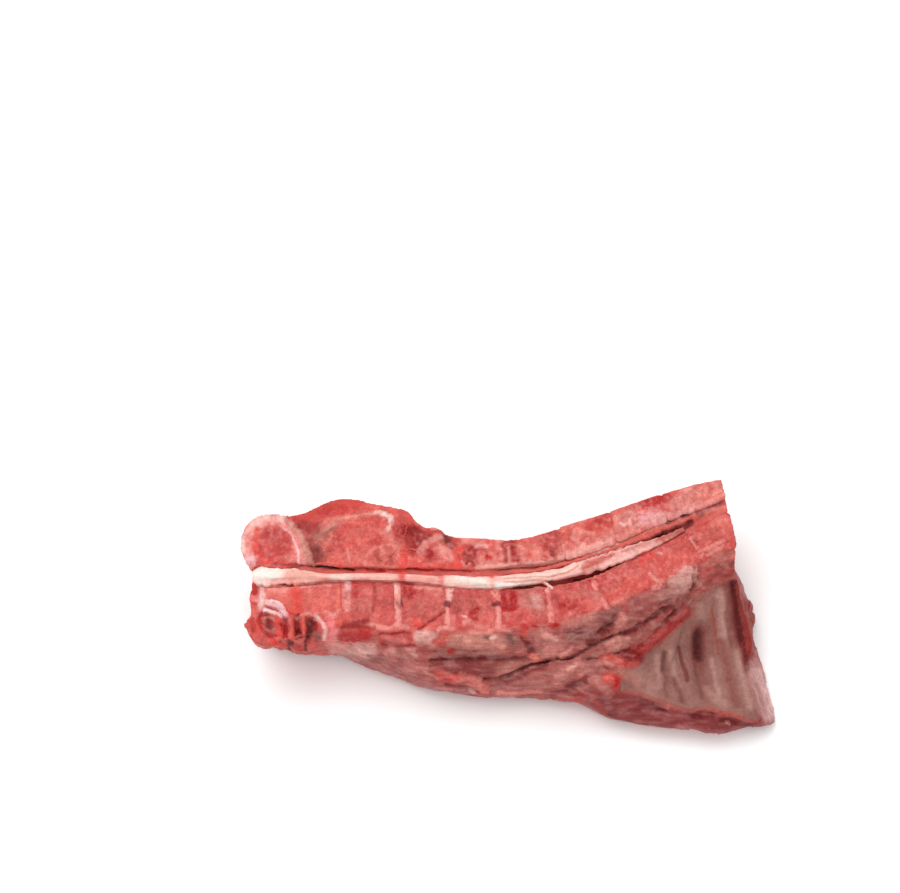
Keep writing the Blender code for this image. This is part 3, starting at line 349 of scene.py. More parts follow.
HEAD_BODY_STROKES = [
    ("torn ground", "blood_meat", 7, 0.9, 0.2, 0.5, [(252, 589), (258, 594), (257, 600)]),
    ("torn top", "meat_red", 4, 0.85, 0.6, 0.6, [(250, 587), (257, 586), (264, 588)]),
    ("torn pink", "salmon_pink", 3, 0.9, 0.8, 0.6, [(248, 595), (252, 599), (256, 600)]),
    ("torn red", "blood_meat", 2.4, 0.8, -0.3, 0.6, [(256, 592), (262, 596)]),
    ("torn light", "white_pink", 3.4, 0.8, 0.3, 0.7, [(263, 594), (262, 600), (261, 606)]),
    ("dens left", "salmon_pale", 5, 0.85, 0.2, 0.7, [(270, 589), (279, 591), (285, 589)]),
    ("dens left low", "salmon", 5, 0.8, 0, 0.7, [(276, 598), (283, 601)]),
    ("dens red", "blood_bright", 5.5, 0.9, -0.1, 0.6, [(295, 592), (298, 600), (298, 610)]),
    ("dens red low", "orange_red", 4, 0.85, 0, 0.7, [(288, 611), (296, 616), (306, 614)]),
    ("dens streak", "salmon", 2.2, 0.6, 0.1, 0.7, [(288, 592), (289, 606)]),
    ("dens ground", "salmon", 9, 0.8, 0, 0.7, [(312, 598), (322, 600), (334, 600)]),
    ("dens soft", "salmon_red", 5, 0.6, 0, 0.8, [(308, 606), (322, 610), (334, 608)]),
    ("dens top", "rim_mid", 1.6, 0.8, 0.3, 0.6, [(302, 587), (316, 586), (330, 586.5)]),
    ("dens low", "salmon_red", 4, 0.7, 0, 0.8, [(318, 613), (332, 615)]),
    ("crescent band", "lilac", 3.2, 1, 1, 0.35, [
        (269, 603), (275.5, 604), (281, 608), (284.5, 614), (287, 621)
    ]),
    ("crescent white", "white_lilac", 1.5, 0.9, 0.3, 0.5, [(272, 601.5), (278, 603), (283, 608)]),
    ("crescent line", "violet_dark", 0.8, 0.45, -0.7, 0.3, [
        (266.5, 607.5), (272, 607.8), (278, 610.5), (283, 616), (286, 622)
    ]),
    ("crescent second", "white_lilac", 1.6, 0.95, 0.6, 0.4, [
        (264.5, 610.5), (271, 610.8), (277, 613.5), (281.5, 618), (284, 622)
    ]),
    ("ventral ground", "brown_red", 7, 0.95, -0.4, 0.5, [(268, 621), (271, 628)]),
    ("ventral dark", "tissue_dark_and_shade", 3, 0.75, -0.3, 0.7, [(267, 616), (271, 621)]),
    ("ventral light", "salmon", 2.4, 0.6, 0.1, 0.7, [(271, 633), (275, 631)]),
    ("ventral side", "blood_bright", 4, 0.85, 0.2, 0.6, [(279, 622), (281, 628), (280, 634)]),
    ("ventral pit", "slit_red", 1.8, 0.9, -0.8, 0.6, [(283, 629), (285, 632)]),
    ("ring dark", "blood_heart", 1.7, 0.9, -1, 0.5, [
        (262, 613), (259.5, 620), (262, 629), (268, 635), (275, 635)
    ]),
    ("ring pale", "tan", 1.3, 0.8, 0.5, 0.5, [(264.5, 622), (266, 617.5), (271, 617), (274.5, 621)]),
    ("ring heart", "tissue_mauve", 2.6, 0.85, -0.6, 0.7, [(269, 624.5), (270, 626)]),
    ("ring foot", "salmon_dull", 1.2, 0.7, 0.4, 0.6, [(265, 629), (270, 631), (275, 629)]),
    ("left knob", "salmon_red", 2.6, 0.9, 1.6, 0.6, [(248, 625), (250, 627)]),
    ("left knob shade", "blood_heart", 1.8, 0.8, -0.8, 0.6, [(253, 619), (254, 625), (253, 631)]),
    ("lobe stripe", "blood_heart", 1.4, 0.7, -0.7, 0.6, [(262, 641), (268, 637), (275, 640)]),
    ("lobe low", "meat_red", 4, 0.8, 0.3, 0.8, [(252, 624), (256, 629), (260, 634)]),
    ("lobe low dark", "blood_bright", 2, 0.6, -0.5, 0.6, [(257, 619), (262, 625)]),
    ("lobe light", "salmon_red", 3, 0.6, 0.5, 0.6, [(260, 632), (264, 638)]),
    ("head rim", "brown_salmon", 5, 0.95, 0.5, 0.7, [
        (266, 642), (280, 647), (296, 649.5), (310, 649), (320, 645)
    ]),
    ("head rim light", "orange_red", 2.4, 0.8, 0.3, 0.6, [(270, 640), (280, 642)]),
    ("head rim dark", "blood_deep", 2, 0.4, -0.6, 0.7, [(286, 644), (292, 643), (296, 646)]),
    ("cavern ground", "meat", 10, 0.9, -0.5, 0.5, [(294, 624), (304, 628), (312, 630)]),
    ("cavern left", "blood_heart", 2.6, 0.9, -1.6, 0.5, [(285, 619), (284.5, 628), (285.5, 637)]),
    ("cavern high", "clot_bright", 2.4, 0.95, -2, 0.5, [(297.5, 617), (296.5, 627), (297, 637)]),
    ("cavern deep", "clot", 3, 1, -2.4, 0.5, [(309.5, 620), (310, 630), (308, 640)]),
    ("cavern deep left", "slit_red", 1.8, 0.9, -1.5, 0.5, [(298, 629), (300, 637)]),
    ("cavern top", "tissue_dark_and_shade", 2.2, 0.9, -1.2, 0.6, [(315, 619), (315, 628)]),
    ("cavern web", "salmon_red", 1.6, 0.9, 1, 0.5, [(303.5, 617), (304, 626), (303, 634)]),
    ("cavern web two", "salmon_red", 1.5, 0.8, 0.9, 0.6, [(291, 618), (291.5, 626), (292, 636)]),
    ("cavern pit", "clot", 1.6, 0.9, -1.2, 0.5, [(288, 641), (292, 644)]),
    ("foot lobe", "meat_red", 2.6, 0.85, 1, 0.6, [(279, 644), (284, 646)]),
    ("foot lobe two", "blood_meat", 2.6, 0.85, 1.1, 0.6, [(296, 646), (301, 648)]),
    ("foot lobe three", "salmon_red", 2.4, 0.8, 0.9, 0.6, [(309, 645), (314, 644)]),
    ("foot slit", "clot", 1.2, 0.8, -0.9, 0.5, [(289, 646), (290, 650)]),
    ("foot slit two", "clot", 1.2, 0.8, -0.9, 0.5, [(305, 643), (306, 649)]),
    ("cavern arc", "rim", 2, 0.95, 0.8, 0.5, [(315, 617), (321, 622), (325, 630), (324, 638)]),
    ("cavern grey", "mauve_grey", 3.4, 0.85, -0.4, 0.6, [(315, 633), (318, 638)]),
    ("cavern side", "salmon_pink", 5, 0.85, 0.2, 0.7, [(331, 622), (333, 632), (331, 641)]),
    ("cavern side light", "rim_mid", 2, 0.7, 0.3, 0.7, [(325, 612), (333, 615), (338, 612)]),
    ("c2 ventral line", "fascia_pale", 1.4, 0.8, 0.3, 0.6, [(296, 617), (306, 614), (318, 614)]),
]
NECK_BODY_STROKES = [
    ("disc 2 column", "rim_mid", 3, 0.9, 0.3, 0.6, [(348, 583), (347, 592), (348, 604), (348, 616)]),
    ("disc 2 knob", "lilac", 2.4, 0.9, 0.5, 0.6, [(347, 584), (349, 588)]),
    ("disc 2 spot", "lilac_dark", 1.9, 0.5, -0.4, 0.9, [(346, 593.5), (347, 596)]),
    ("disc 2 grey", "grey_dark", 0.9, 0.4, -0.4, 0.5, [(345, 598), (347, 600)]),
    ("wedge red", "salmon_red", 4, 0.95, 0.4, 0.6, [(339, 624), (345, 619), (348, 616)]),
    ("c3 ground", "brown_salmon", 9, 0.75, 0, 0.7, [(362, 605), (384, 605)]),
    ("c3 top red", "blood_meat", 3.4, 0.85, -0.2, 0.7, [(356, 588), (357, 595)]),
    ("c3 top", "salmon", 3, 0.6, 0, 0.8, [(363, 588), (370, 590)]),
    ("c3 lobe", "brown_salmon", 6, 0.9, 0.2, 0.6, [(359, 608), (365, 608)]),
    ("c3 lobe ring", "salmon_tan", 1.3, 0.5, 0.3, 0.6, [(353, 601), (360, 599.5), (368, 602), (370, 609)]),
    ("c3 lobe foot", "marrow_dark", 2.4, 0.8, 0.2, 0.7, [(354, 617), (362, 619), (368, 617)]),
    ("c3 seam", "meat_dark", 1.2, 0.45, -0.6, 0.8, [(373, 586), (375.5, 594), (374, 603), (372, 611)]),
    ("c3 right", "marrow", 7, 0.75, 0, 0.7, [(384, 599), (385, 612)]),
    ("c3 right red", "salmon_red", 4, 0.7, 0, 0.8, [(379, 616), (388, 617)]),
    ("c3 low light", "rim_mid", 2.2, 0.9, 0.3, 0.6, [(369, 624), (376, 627), (386, 628)]),
    # under c3 is painted shade under the third vertebra's body.
    ("under c3", "tissue_dark_and_shade", 2.4, 0.8, -0.8, 0.8, [(342, 628), (352, 627), (362, 628), (373, 628)]),
    ("under c3 red", "meat_dark", 2.5, 0.8, -0.5, 0.7, [(345, 624), (358, 623), (368, 622)]),
    ("under meat", "blood_meat", 6, 0.95, 0.6, 0.5, [(343, 637), (354, 637), (366, 635)]),
    ("under meat dark", "blood_deep", 2.5, 0.7, -0.2, 0.8, [(350, 641), (360, 639)]),
    ("disc 3 column", "rim_mid", 2.8, 0.95, 0.3, 0.5, [
        (397, 583), (397, 592), (398, 600), (398, 612), (398, 624)
    ]),
    ("disc 3 light", "rim", 1.4, 0.8, 0.2, 0.6, [(396, 586), (396, 594)]),
    ("disc 3 nucleus", "lilac_dark", 2, 0.6, -0.6, 0.8, [(398, 603), (400, 607)]),
    ("disc 3 foot", "rim_mid", 1.8, 0.6, 0.3, 0.5, [(390, 628), (398, 625), (408, 628)]),
    ("disc 3 edge", "shadow_deep", 1, 0.8, -0.4, 0.5, [(402, 598), (403, 608)]),
    ("c4 ground", "brown_salmon", 11, 0.85, 0, 0.6, [(418, 606), (434, 604)]),
    ("c4 blood", "blood_deep", 4, 0.95, -0.2, 0.6, [(405, 590), (412, 592)]),
    ("c4 blood low", "blood_heart", 3, 0.8, -0.1, 0.7, [(406, 598), (411, 597)]),
    ("c4 top", "salmon_pale", 1.6, 0.8, 0.2, 0.6, [(416, 588), (430, 589), (442, 590)]),
    ("c4 pink", "salmon", 4, 0.5, 0, 0.8, [(428, 597), (438, 600)]),
    ("c4 spot", "orange_red", 3.8, 0.95, 0.1, 0.6, [(416, 622), (420, 625)]),
    ("c4 line", "meat_dark", 1.2, 0.95, -0.5, 0.5, [(418, 630), (426, 624), (436, 617), (446, 611)]),
    ("c4 foot", "salmon", 3, 0.5, 0.2, 0.7, [(428, 627), (438, 624)]),
    ("c4 left foot", "rim_mid", 2, 0.35, 0.3, 0.7, [(403, 626), (407, 631)]),
    ("disc 4 top", "rim", 2.8, 0.95, 0.3, 0.5, [(450, 588), (449.5, 593), (449.5, 598)]),
    ("disc 4 nucleus", "nucleus_dark", 3.3, 0.95, -0.3, 0.5, [(446.5, 603.5), (449.5, 605)]),
    ("disc 4 column", "rim_mid", 2.2, 0.95, 0.3, 0.5, [(447, 610), (447.5, 617), (448, 624)]),
    ("disc 4 foot", "rim_mid", 2, 0.85, 0.3, 0.6, [(438, 630), (446, 627.5), (458, 631)]),
    ("c5 ground", "brown_salmon", 11, 0.85, 0, 0.6, [(464, 604), (482, 604)]),
    ("c5 top", "meat", 4, 0.7, 0, 0.8, [(466, 594), (482, 595)]),
    ("c5 shade", "brown_red", 4, 0.7, -0.1, 0.8, [(456, 600), (457, 612)]),
    ("c5 blood", "clot_red", 2.2, 0.95, -0.1, 0.6, [(471, 614), (478, 609)]),
    ("c5 blood low", "blood_meat", 1.8, 0.8, 0, 0.7, [(470, 617), (475, 619)]),
    ("c5 flecks", "white_pink", 1, 0.5, 0.2, 0.6, [(462, 616), (466, 618)]),
    ("c5 fleck low", "rim_mid", 1.8, 0.8, 0.2, 0.6, [(464, 622), (469, 621)]),
    ("c5 right", "salmon", 4, 0.7, 0, 0.8, [(484, 620), (492, 616)]),
    ("c5 foot", "salmon_pale", 2.4, 0.7, 0.2, 0.7, [(476, 627), (488, 627)]),
    ("disc 5 top", "salmon_pale", 3, 0.9, 0.2, 0.6, [(494, 589), (496, 596)]),
    ("disc 5 nucleus", "nucleus_dark", 2.2, 0.95, -0.3, 0.5, [(494, 604.5), (500, 603.5)]),
    ("disc 5 column", "rim_mid", 2, 0.95, 0.3, 0.5, [(498.5, 609), (498.5, 618), (499, 627)]),
    ("disc 5 foot", "salmon_pale", 2, 0.85, 0.3, 0.6, [(489, 631), (498, 629), (509, 632)]),
    ("c6 ground", "fascia", 10, 0.75, 0, 0.7, [(528, 600), (537, 606)]),
    ("c6 red ground", "marrow", 8, 0.75, 0, 0.7, [(517, 614), (530, 617)]),
    ("c6 blood", "clot_red", 3.2, 1, 0.1, 0.5, [(504, 591), (505, 600), (505, 607)]),
    ("c6 blood light", "salmon_red", 2, 0.5, 0.1, 0.6, [(508, 592), (509, 600)]),
    ("c6 clot", "clot_red", 4, 1, 0.1, 0.5, [(513, 593), (513.5, 602), (513, 608)]),
    ("c6 clot low", "clot_red", 2.5, 0.85, 0.1, 0.6, [(504, 609), (512, 610)]),
    ("c6 brown", "brown_salmon", 2.5, 0.75, 0, 0.7, [(519, 592), (521, 600)]),
    ("c6 light", "fascia_white", 4, 0.65, 0, 0.8, [(535, 598), (537, 605)]),
    ("c6 foot", "salmon_red", 3, 0.5, 0.1, 0.7, [(512, 622), (524, 622)]),
    ("disc 6 column", "salmon_pale", 2.2, 0.6, 0.3, 0.5, [(548, 589), (549, 600), (551, 612), (552, 621)]),
    ("disc 6 knob", "rim", 1.6, 0.5, 0.4, 0.6, [(546, 589), (548, 592)]),
    ("disc 6 brown", "brown_red", 1.6, 0.8, -0.2, 0.6, [(545, 601), (547, 604)]),
    ("drop 1", "blood_vivid", 2.2, 0.95, 0.4, 0.6, [(522, 625), (527, 628)]),
    ("drop 2", "clot_red", 1.5, 0.95, 0.3, 0.6, [(532, 625), (536, 626)]),
    ("drop 3", "clot_red", 2.2, 0.95, 0.4, 0.6, [(550, 627), (557, 625)]),
]
CHEST_BODY_STROKES = [
    ("c7 ground", "meat_red", 9, 0.8, 0, 0.7, [(562, 602), (578, 601)]),
    ("c7 dark", "blood_deep", 3, 0.75, -0.2, 0.7, [(561, 606), (568, 602)]),
    ("c7 dark two", "blood_deep", 2.4, 0.7, -0.2, 0.7, [(571, 609), (577, 606)]),
    ("c7 brown", "brown_red", 3, 0.7, 0, 0.8, [(556, 596), (558, 602)]),
    ("c7 light", "fascia_dull", 4, 0.6, 0, 0.8, [(572, 594), (586, 592)]),
    ("c7 right", "salmon", 4, 0.7, 0, 0.8, [(588, 604), (594, 610)]),
    ("c7 specks", "rim_mid", 1.2, 0.4, 0.1, 0.7, [(580, 600), (583, 604)]),
    ("disc 7 top", "salmon_pale", 1.7, 1, 0.5, 0.5, [(594, 582), (595, 586), (597, 590)]),
    ("disc 7 tan", "tan", 3, 0.9, -0.1, 0.6, [(596, 594), (599, 597)]),
    ("disc 7 low", "rim_mid", 1.8, 0.95, 0.3, 0.5, [(602, 599), (605, 604), (608, 609)]),
    ("t1 corner", "blood_bright", 3, 0.8, 0, 0.7, [(590, 581), (596, 578)]),
    ("t1 ground", "salmon_red", 9, 0.75, 0, 0.7, [(612, 596), (626, 590), (640, 583)]),
    ("t1 light", "salmon_tan", 4, 0.6, 0, 0.8, [(616, 604), (634, 596)]),
    ("t1 brown", "brown_salmon", 3.5, 0.7, 0, 0.8, [(608, 590), (618, 584)]),
    ("disc 8 line", "rim_mid", 1.5, 0.9, 0.3, 0.6, [(650, 574), (655, 579), (661, 584)]),
    ("disc 8 foot", "salmon_pale", 3, 0.7, 0.1, 0.7, [(654, 588), (660, 586)]),
    ("t2 corner", "blood_bright", 4, 0.85, 0, 0.7, [(642, 561), (650, 557)]),
    ("t2 dots", "tan_pale", 1.5, 0.9, 0.2, 0.5, [(659, 553), (661, 554)]),
    ("t2 ground", "salmon_red", 9, 0.7, 0, 0.7, [(660, 568), (674, 561), (684, 556)]),
    ("t2 light", "salmon", 4, 0.6, 0, 0.8, [(668, 572), (682, 566)]),
    ("disc 9 line", "rim_mid", 1.4, 0.5, 0.2, 0.5, [(690, 538), (694, 543), (698, 549)]),
    ("disc 9 pits", "shadow_deep", 1.2, 0.4, -0.5, 0.5, [(694, 540), (697, 545)]),
    ("t3 ground", "marrow_tan", 9, 0.75, 0, 0.7, [(706, 538), (720, 530)]),
    ("t3 light", "orange_pale", 3.5, 0.6, 0, 0.9, [(712, 524), (724, 519)]),
    ("t3 pits", "blood_deep", 1.2, 0.3, -0.4, 0.6, [(726, 541), (728, 543)]),
    ("t3 rim", "salmon_pale", 1.6, 0.75, 0.3, 0.6, [(700, 552), (712, 546), (724, 541)]),
]
FLANK_STROKES = [
    ("left membrane", "fascia_white", 8, 0.85, 0.4, 0.6, [(338, 649), (352, 652), (368, 650)]),
    ("left membrane pink", "fascia_pale", 5, 0.8, 0.3, 0.7, [(332, 645), (344, 647)]),
    ("left membrane edge", "mauve_edge", 3, 0.8, -0.1, 0.7, [
        (338, 654), (352, 657), (366, 662), (380, 668), (396, 675)
    ]),
    ("left membrane grey", "fascia_grey", 3.5, 0.7, -0.2, 0.8, [(370, 657), (384, 661)]),
    ("rag line", "meat_dark", 1.8, 0.95, -0.8, 0.5, [(380, 634), (390, 634), (402, 632.5), (410, 634)]),
    ("rag ground", "meat", 6, 0.85, 0.3, 0.8, [(384, 641), (396, 641), (410, 640)]),
    ("rag pale", "salmon_pale", 3, 0.45, 0.5, 0.6, [(385, 637), (394, 640), (404, 640)]),
    ("rag dark", "tissue_dark_and_shade", 1.6, 0.9, -0.6, 0.5, [(382, 644), (390, 648), (402, 647), (414, 645)]),
    ("rag curl", "meat", 2.4, 0.4, 0.3, 0.6, [(405, 635), (414, 636), (420, 634)]),
    ("rag low", "fascia_pale", 4, 0.8, 0.4, 0.7, [(388, 652), (400, 652), (412, 652)]),
    ("fascia white", "fascia_white", 6, 0.95, 0.6, 0.6, [(420, 637), (427, 637), (432, 640)]),
    ("red streak", "meat_red", 2.6, 0.95, -0.3, 0.6, [(434, 642), (443, 638), (454, 633), (464, 630)]),
    ("red streak low", "salmon_red", 3, 0.8, 0, 0.7, [(438, 645), (448, 641)]),
    ("olive ground", "fascia_olive", 10, 0.9, 0.3, 0.6, [(456, 643), (474, 643), (498, 646)]),
    ("olive light", "tan_pale", 4, 0.6, 0.3, 0.8, [(466, 639), (478, 638)]),
    ("olive light two", "tan_pale", 3, 0.6, 0.3, 0.8, [(494, 644), (504, 646)]),
    ("olive low", "fascia_grey", 4, 0.75, 0, 0.8, [(440, 652), (464, 652), (490, 653)]),
    ("olive spots", "meat_dark", 1.3, 0.5, -0.3, 0.6, [(474, 651), (477, 651)]),
    ("grey spot", "grey_dark", 2.3, 0.95, -0.4, 0.5, [(485, 636), (488, 638)]),
    # white spot is a painted highlight.
    ("white spot", "white_pink", 1.8, 0.6, 0.3, 0.8, [(491, 638), (495, 637)]),
    ("top line", "salmon_pale", 2, 0.8, 0.3, 0.7, [(470, 632), (480, 633), (492, 632)]),
    ("grey shade", "fascia_grey", 6, 0.9, -0.3, 0.6, [(510, 638), (516, 642)]),
    ("grey shade deep", "grey_dark", 3, 0.75, -0.3, 0.7, [(508, 635), (511, 642)]),
    # grey sparkle is a painted highlight.
    ("grey sparkle", "fascia_white", 1.5, 0.3, 0.2, 0.5, [(514, 637), (516, 638)]),
    ("bruise", "bruise_and_shade_deep", 3.4, 0.95, -0.5, 0.5, [(524, 637), (528, 645), (532, 653)]),
    ("bruise red", "meat_red", 2.2, 0.8, 0, 0.7, [(521, 632), (526, 634)]),
    ("nodule salmon", "salmon_light", 3.2, 1, 1.4, 0.5, [(533, 656), (536, 659)]),
    ("fascia right", "fascia_pale", 9, 0.9, 0.3, 0.6, [(544, 640), (552, 648)]),
    ("fascia right light", "fascia_white", 3, 0.4, 0.3, 0.8, [(545, 637), (555, 640)]),
    ("fascia right grey", "fascia_grey", 3, 0.7, 0, 0.8, [(538, 634), (541, 640)]),
    ("fascia right edge", "fascia_pale", 2, 0.9, 0.5, 0.5, [(560, 657), (567, 652), (572, 647)]),
    ("blood spot", "clot_red", 2.6, 1, 0.1, 0.5, [(449, 651), (453, 651.5)]),
    ("left dots", "fascia_white", 1.6, 0.4, 0.3, 0.6, [(412, 654), (416, 655)]),
    ("grey dots", "grey_dark", 1.2, 0.8, -0.2, 0.6, [(434, 651), (436, 652)]),
    ("left grey", "mauve_grey", 4.5, 0.75, -0.2, 0.8, [(400, 655), (406, 658)]),
    ("left pink", "muscle_pink", 5, 0.7, 0.2, 0.8, [(408, 667), (424, 670)]),
    ("dark band", "muscle_dark_and_shade", 3.2, 0.95, -0.9, 0.6, [
        (432, 661), (448, 660), (466, 659.5), (486, 659.5), (508, 660), (526, 660)
    ]),
    ("dark band deep", "slit_soft", 1.2, 0.85, -0.6, 0.5, [(442, 661), (460, 660.5), (480, 660)]),
    ("dark band left", "bruise", 1.5, 0.8, -0.5, 0.6, [(430, 667), (440, 664), (450, 664)]),
    ("strip", "muscle", 5, 0.9, 0.6, 0.6, [(448, 668), (466, 667.5), (490, 668.5)]),
    ("strip right", "tan_grey", 3.6, 0.85, 0.4, 0.7, [(500, 667), (512, 664.5), (526, 662.5)]),
    ("strip pink", "muscle_pink", 2.4, 0.4, 0.6, 0.6, [(497, 673), (506, 671), (518, 667)]),
    ("strip low", "muscle", 3.5, 0.8, 0.2, 0.7, [(474, 674), (484, 674.5), (494, 675)]),
    # The crack strokes are painted shade: the near-black inside the crack in the muscle.
    ("crack", "crack_black", 1.5, 1, -3.4, 0.45, [
        (484, 679.5), (494, 679.6), (504, 678), (513, 674.5), (521, 670.5), (527, 667), (537, 663.5),
        (548, 661)
    ]),
    ("crack wide", "slit", 2.6, 1, -1.4, 0.6, [(504, 677), (513, 673.5), (521, 670)]),
    ("crack right", "slit", 1.2, 1, -2.2, 0.5, [(546, 661), (556, 659.5), (566, 659), (574, 657)]),
    ("crack shade", "bruise", 2.2, 0.8, -0.8, 0.7, [(490, 682), (504, 681.5), (518, 676)]),
    ("crack upper", "slit_soft", 1.5, 0.95, -1.8, 0.5, [
        (574, 657), (584, 651), (596, 644.5), (610, 638), (622, 633)
    ]),
    ("flap", "flap_light", 5.5, 1, 1.5, 0.4, [(461, 677), (470, 679), (478, 682.5), (485, 687)]),
    ("flap tip", "flap_light", 2.5, 0.95, 0.9, 0.5, [(480, 685), (487, 688)]),
    ("flap red", "orange_red", 4.2, 0.7, 0.9, 0.5, [(440, 674.5), (448, 676.5), (456, 677)]),
    ("flap dark", "blood_meat", 2, 0.85, 0, 0.6, [(443, 678), (450, 680)]),
    ("flap thin", "salmon_red", 1.6, 0.5, 0.5, 0.6, [(430, 672.5), (438, 673), (446, 673)]),
    ("flap foot", "bruise", 2, 0.9, -0.8, 0.6, [(446, 684), (462, 687.5), (478, 691)]),
    ("edge left", "mauve_edge", 3.6, 0.85, 0, 0.7, [(404, 681), (424, 687), (446, 691.5), (466, 694)]),
    ("edge pink", "salmon_pale", 1.5, 0.3, 0.3, 0.7, [(440, 687), (452, 689)]),
    # edge spark is a painted highlight.
    ("edge spark", "white_pink", 1.5, 0.4, 0.4, 0.6, [(470, 690.5), (474, 692)]),
    ("scalene", "scalene", 9, 0.9, 0.3, 0.6, [(500, 686), (518, 681), (536, 675), (552, 670)]),
    ("scalene top", "bruise", 2.2, 0.8, -0.3, 0.7, [(506, 682), (520, 677), (532, 670), (546, 665)]),
    ("scalene pink edge", "salmon_pale", 2, 0.8, 0.4, 0.7, [
        (498, 692.5), (512, 693), (528, 691.5), (540, 692)
    ]),
    # scalene pink and scalene pink light are a painted highlight along the muscle's ridge.
    ("scalene pink", "muscle_pink", 4.6, 0.95, 0.8, 0.6, [(556, 681), (562, 673), (570, 667), (578, 663)]),
    ("scalene pink light", "tan_cream", 2, 0.85, 0.4, 0.6, [(568, 668), (576, 664)]),
    ("scalene shade", "muscle_dark_and_shade", 4, 0.9, -0.5, 0.7, [(568, 688), (577, 684), (584, 681)]),
    ("scalene shade low", "bruise", 3, 0.75, -0.3, 0.8, [(552, 694), (562, 692)]),
    ("scalene right", "fascia", 6, 0.8, 0.3, 0.7, [(582, 672), (590, 668), (598, 664)]),
    ("scalene right light", "muscle_pink", 2, 0.3, 0.4, 0.7, [(590, 681), (600, 676)]),
    ("low red line", "blood_meat", 1.3, 0.7, -0.2, 0.6, [(572, 695), (586, 694), (600, 692.5)]),
]
